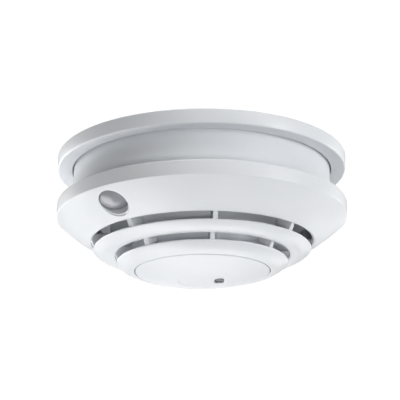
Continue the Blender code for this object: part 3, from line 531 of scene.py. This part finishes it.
# The CAD nodes that keep their shape, and the material of each
CARRIED = {
    "main_board": board_material(),
    "sensor_holder": black_plastic,
    "controller_chip": moulded("chip_epoxy", (0.03, 0.03, 0.03), (0.015, 0.015, 0.015), 0.55, 0.00001),
    "sounder_cup": black_plastic,
    "sounder_cap": black_plastic,
    "battery_clip": black_plastic,
    "tact_switch_body": black_plastic,
    "window_sensor": moulded("sensor_epoxy", (0.06, 0.06, 0.09), (0.03, 0.03, 0.05), 0.12, 0.000001),
    "thermistor": moulded("thermistor_glass", (0.07, 0.06, 0.05), (0.04, 0.04, 0.04), 0.15, 0.000002),
    "sensor_lead": moulded("sensor_lead_sleeve", (0.04, 0.04, 0.04), (0.02, 0.02, 0.02), 0.5, 0.00001),
    "battery_lead_red": moulded("lead_red", (0.6, 0.03, 0.02), (0.45, 0.02, 0.02), 0.4, 0.00001),
    "battery_lead_black": moulded("lead_black", (0.03, 0.03, 0.03), (0.015, 0.015, 0.015), 0.4, 0.00001),
    "status_led": moulded("led_phosphor", (0.85, 0.72, 0.3), (0.75, 0.6, 0.25), 0.3),
    "light_pipe": moulded("pipe_clear", (0.8, 0.83, 0.85), (0.7, 0.74, 0.78), 0.06, 0.000001),
    "capacitor_1": moulded("capacitor_sleeve", (0.03, 0.035, 0.1), (0.015, 0.02, 0.06), 0.3),
    "inductor": moulded("ferrite", (0.07, 0.07, 0.07), (0.035, 0.035, 0.035), 0.6, 0.00002),
    "piezo_disc": metal("piezo_brass", (0.78, 0.58, 0.25), (0.66, 0.46, 0.16), 0.28),
    "battery": moulded("battery_jacket", (0.1, 0.11, 0.13), (0.07, 0.075, 0.09), 0.25, 0.000003),
    "switch_plunger": moulded("plunger_amber", (0.6, 0.3, 0.05), (0.5, 0.22, 0.03), 0.35),
    "case_screw_1": metal("screw_zinc", (0.75, 0.76, 0.78), (0.55, 0.56, 0.6), 0.3),
}
CARRIED["capacitor_2"] = CARRIED["capacitor_1"]
for screw in ("case_screw_2", "case_screw_3", "board_screw_1", "board_screw_2", "board_screw_3"):
    CARRIED[screw] = CARRIED["case_screw_1"]

for node, material in CARRIED.items():
    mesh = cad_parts[node].data
    mesh.materials.clear()
    mesh.materials.append(material)
    mesh.shade_smooth()
    mesh.set_sharp_from_angle(angle=CARRIED_SHARP_ABOVE)


# ---------------------------------------------------------------- mounting base

def make_mounting_base():
    soft = 0.25 * MM
    corners = [
        (0.0, 0.0, 0.0),
        (WEB_RECESS_R[0], 0.0, soft),
        (WEB_RECESS_R[0], WEB_FLOOR_Z, soft),
        (WEB_RECESS_R[1], WEB_FLOOR_Z, soft),
        (WEB_RECESS_R[1], 0.0, soft),
        (CHANNEL_R[0], 0.0, soft),
        (CHANNEL_R[0], CHANNEL_FLOOR_Z, soft),
        (CHANNEL_R[1], CHANNEL_FLOOR_Z, soft),
        (CHANNEL_R[1], 0.0, soft),
        (FLANGE_R, 0.0, 0.7 * MM),
        (FLANGE_R - 0.3 * MM, FLANGE_LOW_Z, 0.7 * MM),
        (RIM_IN_R, FLANGE_LOW_Z, 0.3 * MM),
        (RIM_IN_R, -WEB_T, soft),
        (0.0, -WEB_T, 0.0),
    ]
    base = lathe("mounting_base_shell", rounded(corners, False))
    root_z = -WEB_T + 0.5 * MM
    foot_top = HOOK_LOW_Z + HOOK_FOOT_T
    leg_in, leg_out = HOOK_LEG_R
    hook = [
        (leg_in, root_z),
        (leg_in, foot_top),
        (HOOK_FOOT_R, foot_top),
        (HOOK_FOOT_R, HOOK_LOW_Z),
        (leg_out, HOOK_LOW_Z),
        (leg_out, root_z),
    ]
    hooks = []
    for azimuth in HOOK_AZIMUTHS:
        solid = slab("hook", hook, -HOOK_HALF_WIDTH, HOOK_HALF_WIDTH, upright(azimuth))
        hooks.append(soften(solid, 0.3 * MM))
    bite = 0.3 * MM
    half = 0.6 * MM
    rib_in, rib_out = CHANNEL_R[0] - bite, CHANNEL_R[1] + bite
    rib_top, rib_low = -1.0 * MM, CHANNEL_FLOOR_Z - bite
    rib = [(rib_in, rib_top), (rib_in, rib_low), (rib_out, rib_low), (rib_out, rib_top)]
    spacing = 360.0 / CHANNEL_RIBS
    ribs = []
    for index in range(CHANNEL_RIBS):
        ribs.append(slab("rib", rib, -half, half, upright(spacing * (index + 0.5))))
    combine(base, gather("hooks_and_ribs", hooks + ribs), "UNION")

    pad_low = WEB_FLOOR_Z - 0.6 * MM
    pads, openings = [], []
    for azimuth in SLOT_AZIMUTHS:
        turn = Matrix.Rotation(math.radians(azimuth), 4, "Z")
        pad = slab("pad", obround((SLOT_R, 0.0), *PAD_SIZE), pad_low, RIB_TOP_Z, turn)
        pads.append(soften(pad, 0.2 * MM))
        openings.append(slab("slot", obround((SLOT_R, 0.0), *SLOT_SIZE), -3.0 * MM, 1.0 * MM, turn))
    frame_x, frame_y = CABLE_FRAME_HALF
    pads.append(block("frame", (-frame_x, CABLE_Y - frame_y, pad_low),
                      (frame_x, CABLE_Y + frame_y, RIB_TOP_Z), 0.2 * MM))
    combine(base, gather("pads", pads), "UNION")
    half = 0.7 * MM
    strip = rectangle((WEB_RECESS_R[0] - bite, -half), (WEB_RECESS_R[1] + bite, half))
    spacing = 360.0 / WEB_RIBS
    strips = []
    for index in range(WEB_RIBS):
        turn = Matrix.Rotation(math.radians(spacing * (index + 0.5)), 4, "Z")
        solid = slab("strip", strip, pad_low, RIB_TOP_Z - 0.1 * MM, turn)
        strips.append(soften(solid, 0.15 * MM))
    combine(base, gather("web_ribs", strips), "UNION")
    hole_x, hole_y = CABLE_HALF
    hole = rectangle((-hole_x, CABLE_Y - hole_y), (hole_x, CABLE_Y + hole_y))
    openings.append(soften(slab("cable", hole, -3.5 * MM, 1.5 * MM), 0.8 * MM))
    combine(base, gather("openings", openings), "DIFFERENCE")
    finish_piece(base, base_white, "base", "mounting_base")


# ---------------------------------------------------------------- base housing

def keyhole(azimuth):
    """A bayonet slot with a wide end for the hook's foot and a narrow end for its leg."""
    start, step, end = (azimuth + turn for turn in KEYHOLE_TURN)
    wide_in, narrow_in, outside = KEYHOLE_R
    outline = arc((0.0, 0.0), outside, start, end, 24)
    outline += arc((0.0, 0.0), wide_in, end, step, 12)
    outline += arc((0.0, 0.0), narrow_in, step, start, 12)
    return outline


def make_housing():
    soft = 0.3 * MM
    inside = NECK_R - HOUSING_WALL
    corners = [
        (0.0, DECK_Z, 0.0),
        (NECK_R, DECK_Z, 0.6 * MM),
        (NECK_R, SHELF_TOP_Z, 0.5 * MM),
        (SHELF_R, SHELF_TOP_Z, soft),
        (SHELF_R, SHELF_LOW_Z, soft),
        (inside, SHELF_LOW_Z, soft),
        (inside, DECK_Z - HOUSING_WALL, soft),
        (0.0, DECK_Z - HOUSING_WALL, 0.0),
    ]
    housing = lathe("base_housing_shell", rounded(corners, False))
    solids, bores, passages = [], [], []
    for azimuth in CASE_SCREW_AZIMUTHS:
        spot = polar(CASE_SCREW_R, azimuth)
        solids.append(rod("pillar", spot, *PILLAR))
        bores.append(rod("head_bore", spot, *PILLAR_HEAD_BORE))
        passages.append(rod("passage", spot, *PILLAR_PASSAGE))
    for azimuth in BOARD_SCREW_AZIMUTHS:
        spot = polar(BOARD_SCREW_R, azimuth)
        solids.append(rod("post", spot, *POST))
        bores.append(rod("post_bore", spot, *POST_BORE))
    battery_low, battery_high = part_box("battery")
    room_y = (battery_low.y - GAP, battery_high.y + GAP)
    floor_top, floor_low = TRAY_FLOOR_Z
    solids.append(block("tray", (TRAY_X[0] - TRAY_WALL, room_y[0] - TRAY_WALL, floor_low),
                        (TRAY_X[1] + TRAY_WALL, room_y[1] + TRAY_WALL, IN_DECK_Z)))
    combine(housing, gather("pillars", solids), "UNION")
    bores.append(block("tray_room", (TRAY_X[0], room_y[0], floor_top),
                       (TRAY_X[1], room_y[1], ABOVE_DECK_Z)))
    bores += [slab("keyhole", keyhole(azimuth), -7.0 * MM, ABOVE_DECK_Z) for azimuth in HOOK_AZIMUTHS]
    combine(housing, gather("bores", bores), "DIFFERENCE")
    passages.append(block("lead_notch", *LEAD_NOTCH))
    combine(housing, gather("passages", passages), "DIFFERENCE")
    finish_piece(housing, housing_white, "head", "base_housing")


# ---------------------------------------------------------------- front cover

def cone_direction():
    """Unit vectors in (radius, height): down the cone and out of its surface."""
    down = (Vector(CONE_LOW) - Vector((BODY_R, BAND_LOW_Z))).normalized()
    return down, Vector((-down.y, down.x))


def cover_profile():
    """The cover's section: band, cone and the lip that ends it, then back up inside."""
    down, out = cone_direction()
    lip = 0.9 * MM
    crease = 0.5 * MM
    top = rounded([
        (BODY_R - COVER_WALL, BAND_LOW_Z + 0.6 * MM, 0.4 * MM),
        (BODY_R - COVER_WALL, BODY_TOP_Z, 0.3 * MM),
        (BODY_R, BODY_TOP_Z, 1.9 * MM),
        (BODY_R - 0.1 * MM, BAND_LOW_Z, crease),
        (CONE_LOW[0], CONE_LOW[1], 0.0),
    ], False, 8)[1:-1]
    cone = bowed(top[-1], CONE_LOW, CONE_BULGE, 20)[1:-1]
    lip_centre = Vector(CONE_LOW) - down * lip - out * lip
    outward = math.degrees(math.atan2(out.y, out.x))
    edge = arc(lip_centre, lip, outward, outward - 140.0, 10)
    inner_low = Vector(CONE_LOW) - out * COVER_WALL - down * 0.3 * MM
    inner_high = (BODY_R - COVER_WALL, BAND_LOW_Z + 0.6 * MM)
    return top + cone + edge + [tuple(inner_low), inner_high]


def ring_profile(outer, inner, bulge, thickness):
    """A louvre ring's section, from its outer lip along its bulged face to its inner foot."""
    edge = 0.35 * MM
    centre = (outer[0] - edge, outer[1] + edge)
    outside = arc(centre, edge, 90.0, -40.0, 6)
    under = bowed(outside[-1], inner, bulge, 16)[1:-1]
    foot = rounded([
        (under[-1][0], under[-1][1], 0.0),
        (inner[0], inner[1], 0.35 * MM),
        (inner[0], inner[1] + thickness, 0.2 * MM),
        (outside[0][0], outside[0][1], 0.0),
    ], False, 4)[1:-1]
    return outside + under + foot


def fin_outline():
    """A fin in (radius, height): it joins cone and rings, and stays clear of the air guide."""
    clear = 0.45 * MM
    step = GUIDE_STEP_Z[1] - clear
    return [
        (48.3 * MM, -33.3 * MM),
        (45.9 * MM, -35.8 * MM),
        (43.9 * MM, -39.5 * MM),
        (36.6 * MM, -41.2 * MM),
        (35.9 * MM, -41.4 * MM),
        (34.4 * MM, -44.9 * MM),
        (GUIDE_LOW_R + clear, -46.6 * MM),
        (GUIDE_LOW_R + clear, step),
        (GUIDE_R + clear, step),
        (GUIDE_R + clear, -33.0 * MM),
    ]


def window_place(azimuth, dip):
    """Place at the side window's centre on the cone, with +Z out towards azimuth and dip below level."""
    down, out = cone_direction()
    along = (WINDOW_R - BODY_R) / down.x
    spot = Vector((BODY_R, BAND_LOW_Z)) + down * along + out * CONE_BULGE * 0.9
    turn = Matrix.Rotation(math.radians(azimuth), 4, "Z")
    tilt = Matrix.Rotation(math.radians(90.0 + dip), 4, "Y")
    return Matrix.Translation((*polar(spot.x, WINDOW_AZIMUTH), spot.y)) @ turn @ tilt


def cone_dip():
    """How far the cone's outward normal dips below level, in degrees."""
    out = cone_direction()[1]
    return math.degrees(math.atan2(-out.y, out.x))


def make_window_tube():
    """The side window's tube, trimmed so that it stays inside the cover's outer face."""
    out = cone_direction()[1]
    inset = 1.0 * MM
    high = Vector((BODY_R, BAND_LOW_Z)) - out * inset
    low = Vector(CONE_LOW) - out * inset
    ceiling_z = -22.3 * MM
    room = [(0.0, ceiling_z), (55.0 * MM, ceiling_z), tuple(high), tuple(low), (0.0, low.y)]
    radius, depth = WINDOW_TUBE
    wall = [(0.0, 4.0 * MM), (radius, 4.0 * MM), (radius, -depth), (0.0, -depth)]
    tube = lathe("window_tube", wall, FINE_STEPS, window_place(*WINDOW_AIM))
    combine(tube, lathe("window_tube_room", room), "INTERSECT")
    return tube


def make_cover():
    cover = lathe("front_cover_shell", cover_profile())
    fins = []
    for index in range(FIN_COUNT):
        azimuth = FIN_FIRST + 360.0 * index / FIN_COUNT
        fin = slab("fin", fin_outline(), -FIN_T / 2, FIN_T / 2, upright(azimuth))
        fins.append(soften(fin, 0.3 * MM))
    for azimuth in CASE_SCREW_AZIMUTHS:
        fins.append(rod("boss", polar(CASE_SCREW_R, azimuth), *BOSS))
    combine(cover, gather("fins", fins), "UNION")
    combine(cover, lathe("ring_1", ring_profile(RING1_OUT, RING1_IN, *RING1_SHAPE)), "UNION")
    combine(cover, lathe("ring_2", ring_profile(RING2_OUT, RING2_IN, *RING2_SHAPE)), "UNION")
    bores = [rod("boss_bore", polar(CASE_SCREW_R, azimuth), *BOSS_BORE)
             for azimuth in CASE_SCREW_AZIMUTHS]
    combine(cover, make_window_tube(), "UNION")
    hole = [(0.0, 5.0 * MM), (WINDOW_HOLE_R, 5.0 * MM), (WINDOW_HOLE_R, -7.0 * MM), (0.0, -7.0 * MM)]
    bores.append(lathe("window_hole", hole, FINE_STEPS, window_place(*WINDOW_AIM)))
    combine(cover, gather("bores", bores), "DIFFERENCE")
    reach = 2.0 * MM
    dish = rounded([
        (0.0, reach, 0.0),
        (WINDOW_DISH_R + reach, reach, 0.0),
        (WINDOW_DISH_R - WINDOW_SINK, -WINDOW_SINK, 0.5 * MM),
        (0.0, -WINDOW_SINK, 0.0),
    ], False, 8)
    flush = window_place(WINDOW_AZIMUTH, cone_dip())
    combine(cover, lathe("window_dish", dish, FINE_STEPS, flush), "DIFFERENCE")
    finish_piece(cover, cover_white, "head", "front_cover")


def make_lens():
    flange_r, flange_depth, flange_t = LENS_FLANGE
    lens_r = WINDOW_HOLE_R - GAP
    reach = 90.0 - math.degrees(math.asin(lens_r / LENS_SPHERE_R))
    crown = arc((0.0, -LENS_TOP_DEPTH - LENS_SPHERE_R), LENS_SPHERE_R, 90.0, reach, 24)
    crown[0] = (0.0, -LENS_TOP_DEPTH)
    edge = rounded([
        (lens_r, crown[-1][1], 0.0),
        (lens_r, -flange_depth, 0.0),
        (flange_r, -flange_depth, 0.2 * MM),
        (flange_r, -flange_depth - flange_t, 0.2 * MM),
        (0.0, -flange_depth - flange_t, 0.0),
    ], False, 3)
    lens = lathe("window_lens_dome", crown + edge[1:], FINE_STEPS, window_place(*WINDOW_AIM))
    finish_piece(lens, lens_smoke, "head", "window_lens")


# ---------------------------------------------------------------- air guide

def make_guide():
    top, under = GUIDE_STEP_Z
    soft = 0.3 * MM
    corners = [
        (GUIDE_FLANGE_R, GUIDE_TOP_Z, soft),
        (GUIDE_FLANGE_R, GUIDE_TOP_Z - GUIDE_WALL, soft),
        (GUIDE_R, GUIDE_TOP_Z - GUIDE_WALL, soft),
        (GUIDE_R, under, 0.5 * MM),
        (GUIDE_LOW_R, under, soft),
        (GUIDE_LOW_R, GUIDE_LOW_Z, soft),
        (GUIDE_LOW_R - GUIDE_WALL, GUIDE_LOW_Z, soft),
        (GUIDE_LOW_R - GUIDE_WALL, under, soft),
        (GUIDE_PIPE_RIM_R, under, soft),
        (GUIDE_PIPE_RIM_R, top, soft),
        (GUIDE_R - GUIDE_WALL, top, soft),
        (GUIDE_R - GUIDE_WALL, GUIDE_TOP_Z, soft),
    ]
    guide = lathe("air_guide_shell", rounded(corners, True, 4))
    thermistor_low, thermistor_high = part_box("thermistor")
    middle = (thermistor_low + thermistor_high) / 2
    bores = [rod("flange_hole", polar(BOARD_SCREW_R, azimuth), *FLANGE_HOLE)
             for azimuth in BOARD_SCREW_AZIMUTHS]
    bores.append(rod("thermistor_hole", (middle.x, middle.y), *THERMISTOR_HOLE))
    bores.append(rod("pipe_hole", (INSERT_X, 0.0), *PIPE_HOLE))
    port = rectangle((-PORT_HALF_WIDTH, PORT_Z[0]), (PORT_HALF_WIDTH, PORT_Z[1]))
    for index in range(FIN_COUNT):
        azimuth = FIN_FIRST + 360.0 * (index + 0.5) / FIN_COUNT
        bores.append(slab("air_port", port, *PORT_CUT_R, upright(azimuth + 90.0)))
    combine(guide, gather("guide_openings", bores), "DIFFERENCE")
    finish_piece(guide, guide_grey, "head", "air_guide")


# ---------------------------------------------------------------- test button

def dome_z(radius, rise=0.0):
    """Height of the button's face at a radius, or of a face that lies a rise above it."""
    sphere_r = (BUTTON_R ** 2 + BUTTON_SAG ** 2) / (2 * BUTTON_SAG)
    return BUTTON_EDGE_Z - BUTTON_SAG + rise + sphere_r - math.sqrt(sphere_r ** 2 - radius ** 2)


def button_profile():
    """The button's section: stem, inside and skirt, then the edge, the dome and the dimple in it."""
    middle_r = 14.0 * MM
    flange_top, flange_low = BUTTON_FLANGE_Z
    soft = 0.25 * MM
    inner = rounded([
        (0.0, STEM_TOP_Z, 0.0),
        (STEM_R, STEM_TOP_Z, soft),
        (STEM_R, dome_z(STEM_R, BUTTON_WALL), soft),
        (middle_r, dome_z(middle_r, BUTTON_WALL), 8.0 * MM),
        (SKIRT_R, dome_z(SKIRT_R, BUTTON_WALL), 0.4 * MM),
        (SKIRT_R, flange_top, soft),
        (BUTTON_FLANGE_R, flange_top, soft),
        (BUTTON_FLANGE_R, flange_low, soft),
        (BUTTON_R, flange_low, soft),
        (BUTTON_R, BUTTON_EDGE_Z, 0.0),
    ], False, 4)[:-1]
    edge_r = 0.6 * MM
    edge = arc((BUTTON_R - edge_r, BUTTON_EDGE_Z + 0.45 * MM), edge_r, 0.0, -72.0, 6)
    dome_steps, slope_steps = 18, 8
    first = edge[-1][0] - 0.3 * MM
    last = DIMPLE_R + 0.3 * MM
    dome = []
    for index in range(dome_steps + 1):
        radius = first + (last - first) * index / dome_steps
        dome.append((radius, dome_z(radius)))
    dimple = []
    for index in range(1, slope_steps):
        share = index / slope_steps
        radius = last - 1.1 * MM * share
        ease = share * share * (3 - 2 * share)
        dimple.append((radius, dome_z(radius, DIMPLE_DEPTH * ease)))
    floor = [(radius * MM, dome_z(radius * MM, DIMPLE_DEPTH)) for radius in (8.7, 7.0, 5.0, 3.0, 1.2)]
    floor.append((0.0, dome_z(0.0, DIMPLE_DEPTH)))
    return inner + edge + dome + dimple + floor


def make_button():
    button = lathe("test_button_shell", button_profile())
    seat = slab("seat", obround((INSERT_X, 0.0), *INSERT_SIZE), -56.0 * MM, -49.0 * MM)
    combine(button, seat, "DIFFERENCE")
    finish_piece(button, button_white, "button", "test_button")
    window_low, window_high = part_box("button_window")
    insert_length, insert_width = INSERT_SIZE
    insert = obround((INSERT_X, 0.0), insert_length - 2 * GAP, insert_width - 2 * GAP)
    window = slab("button_window_insert", insert, window_low.z, window_high.z)
    soften(window, 0.3 * MM, 4)
    finish_piece(window, smoked, "button", "button_window")


# ---------------------------------------------------------------- return spring

def spring_path(low, high):
    """The wire's middle line, from a closed end turn up through the open turns to the other."""
    closed_rise = 2.2 * SPRING_WIRE_R * SPRING_CLOSED_TURN
    open_turns = SPRING_TURNS - 2 * SPRING_CLOSED_TURN
    open_rise = high - low - 2 * closed_rise
    per_turn = 24
    path = []
    for index in range(SPRING_TURNS * per_turn + 1):
        turn = index / per_turn
        below = min(turn, SPRING_CLOSED_TURN) / SPRING_CLOSED_TURN
        middle = min(max((turn - SPRING_CLOSED_TURN) / open_turns, 0.0), 1.0)
        above = max(turn - SPRING_TURNS + SPRING_CLOSED_TURN, 0.0) / SPRING_CLOSED_TURN
        height = low + closed_rise * (below + above) + open_rise * middle
        path.append((*polar(SPRING_R, 360.0 * turn), height))
    return path


def make_spring():
    """The button's return spring, drawn at rest between the button's end and its fixed upper end."""
    fixed_end = high_of("button_spring").z
    moving_end = low_of("button_spring").z
    path = spring_path(moving_end + SPRING_WIRE_R, fixed_end - SPRING_WIRE_R)
    curve = bpy.data.curves.new("spring_wire", "CURVE")
    curve.dimensions = "3D"
    curve.bevel_depth = SPRING_WIRE_R
    curve.bevel_resolution = 3
    curve.use_fill_caps = True
    spline = curve.splines.new("POLY")
    spline.points.add(len(path) - 1)
    for point, spot in zip(spline.points, path):
        point.co = (*spot, 1.0)
    spring = gather("button_return_spring", [new_object("spring_wire", curve)])
    finish_piece(spring, spring_steel, "head", "button_spring")
    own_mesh(spring)


make_mounting_base()
make_housing()
make_cover()
make_lens()
make_guide()
make_button()
make_spring()


# ---------------------------------------------------------------- floor, light and camera

# Metres and degrees
FLOOR_Z = -1.4
FLOOR_R = 6.0
FLOOR_T = 0.02
CAMERA_PLACE = (0.0, -0.524, -0.186)
CAMERA_TILT = 107.86            # 90 looks level, more looks up
CAMERA_ROLL = -0.46
CAMERA_LENS = 118.9             # in millimetres, on the sensor's width
SENSOR_WIDTH = 36.0
CAMERA_SHIFT_X = -0.0048        # of the frame's width


def make_floor():
    """A round pale floor far below. The camera sees its colour evenly lit."""
    outline = arc((0.0, 0.0), FLOOR_R, 0.0, 350.0, 35)
    floor = slab("floor", outline, FLOOR_Z - FLOOR_T, FLOOR_Z)
    nodes = Nodes("floor_pale")
    nodes.link(nodes.tint(nodes.noise(3.0), (0.84, 0.84, 0.84), (0.87, 0.87, 0.87)),
               nodes.shader.inputs["Base Color"])
    nodes.shader.inputs["Roughness"].default_value = 0.8
    path = nodes.add("ShaderNodeLightPath")
    glow = nodes.add("ShaderNodeEmission", Color=(0.93, 0.93, 0.93, 1.0), Strength=1.0)
    mix = nodes.add("ShaderNodeMixShader")
    nodes.link(path.outputs["Is Camera Ray"], mix.inputs["Fac"])
    nodes.link(nodes.shader.outputs["BSDF"], mix.inputs[1])
    nodes.link(glow.outputs["Emission"], mix.inputs[2])
    output = nodes.tree.nodes["Material Output"]
    nodes.link(mix.outputs["Shader"], output.inputs["Surface"])
    floor.data.materials.append(nodes.material)


def make_world():
    """White to the camera, a softer even light for the object."""
    world = bpy.data.worlds.new("studio")
    bpy.context.scene.world = world
    world.use_nodes = True
    tree = world.node_tree
    tree.nodes.clear()
    path = tree.nodes.new("ShaderNodeLightPath")
    seen = tree.nodes.new("ShaderNodeBackground")
    seen.inputs["Color"].default_value = (1.0, 1.0, 1.0, 1.0)
    seen.inputs["Strength"].default_value = 1.05
    fill = tree.nodes.new("ShaderNodeBackground")
    fill.inputs["Color"].default_value = (0.97, 0.985, 1.0, 1.0)
    fill.inputs["Strength"].default_value = 0.03
    mix = tree.nodes.new("ShaderNodeMixShader")
    output = tree.nodes.new("ShaderNodeOutputWorld")
    tree.links.new(path.outputs["Is Camera Ray"], mix.inputs["Fac"])
    tree.links.new(fill.outputs["Background"], mix.inputs[1])
    tree.links.new(seen.outputs["Background"], mix.inputs[2])
    tree.links.new(mix.outputs["Shader"], output.inputs["Surface"])


def soft_light(name, azimuth, elevation, size, power):
    """A square soft light that faces the object's middle. Azimuth 0 is the front, +90 the right."""
    middle = Vector((0.0, 0.0, (cad_bounds[0][2] + cad_bounds[1][2]) / 2))
    turn, lift = math.radians(azimuth), math.radians(elevation)
    way = Vector((math.sin(turn) * math.cos(lift), -math.cos(turn) * math.cos(lift), math.sin(lift)))
    data = bpy.data.lights.new(name, "AREA")
    data.shape = "SQUARE"
    data.size = size
    data.energy = power
    light = bpy.data.objects.new(name, data)
    bpy.context.scene.collection.objects.link(light)
    light.location = middle + way * LIGHT_DISTANCE
    light.rotation_euler = (-way).to_track_quat("-Z", "Y").to_euler()
    light.visible_camera = False


LIGHT_DISTANCE = 1.0
BROAD = 0.6
NARROW = 0.35
# name, azimuth, elevation, side in metres, power in watts
LIGHTS = (
    ("below_left_back", -115.0, -60.0, BROAD, 4.8),
    ("below_back", 180.0, -55.0, BROAD, 2.7),
    ("left_low", -120.0, -25.0, NARROW, 1.5),
    ("left_back_low", -150.0, -25.0, NARROW, 0.5),
    ("front_low", 0.0, -25.0, NARROW, 3.2),
    ("right_low", 120.0, -25.0, NARROW, 0.5),
    ("right_back_low", 150.0, -25.0, NARROW, 0.7),
    ("back_low", 180.0, -25.0, NARROW, 0.4),
    ("left_rim", -120.0, 2.0, NARROW, 4.0),
    ("left_back_rim", -135.0, 2.0, NARROW, 2.2),
    ("right_front", 60.0, 2.0, NARROW, 4.3),
    ("right_rim", 120.0, 2.0, NARROW, 2.9),
    ("right_back_rim", 150.0, 2.0, NARROW, 0.6),
    ("back_rim", 180.0, 2.0, NARROW, 0.4),
    ("left_back_high", -135.0, 28.0, BROAD, 0.9),
    ("right_back_high", 135.0, 28.0, BROAD, 0.9),
    ("right_front_high", 45.0, 28.0, BROAD, 0.9),
    ("front_high", 0.0, 28.0, BROAD, 0.5),
    ("front_top", 0.0, 60.0, BROAD, 2.4),
    ("top", 0.0, 86.0, BROAD, 3.0),
)


def make_lights():
    for name, azimuth, elevation, size, power in LIGHTS:
        soft_light(name, azimuth, elevation, size, power)


def make_camera():
    data = bpy.data.cameras.new("camera")
    data.lens = CAMERA_LENS
    data.sensor_width = SENSOR_WIDTH
    data.shift_x = CAMERA_SHIFT_X
    camera = bpy.data.objects.new("camera", data)
    bpy.context.scene.collection.objects.link(camera)
    camera.location = CAMERA_PLACE
    look = Matrix.Rotation(math.radians(CAMERA_TILT), 4, "X")
    roll = Matrix.Rotation(math.radians(CAMERA_ROLL), 4, "Z")
    camera.rotation_euler = (look @ roll).to_euler()
    bpy.context.scene.camera = camera


make_floor()
make_world()
make_lights()
make_camera()
bpy.context.scene.view_settings.view_transform = "Standard"
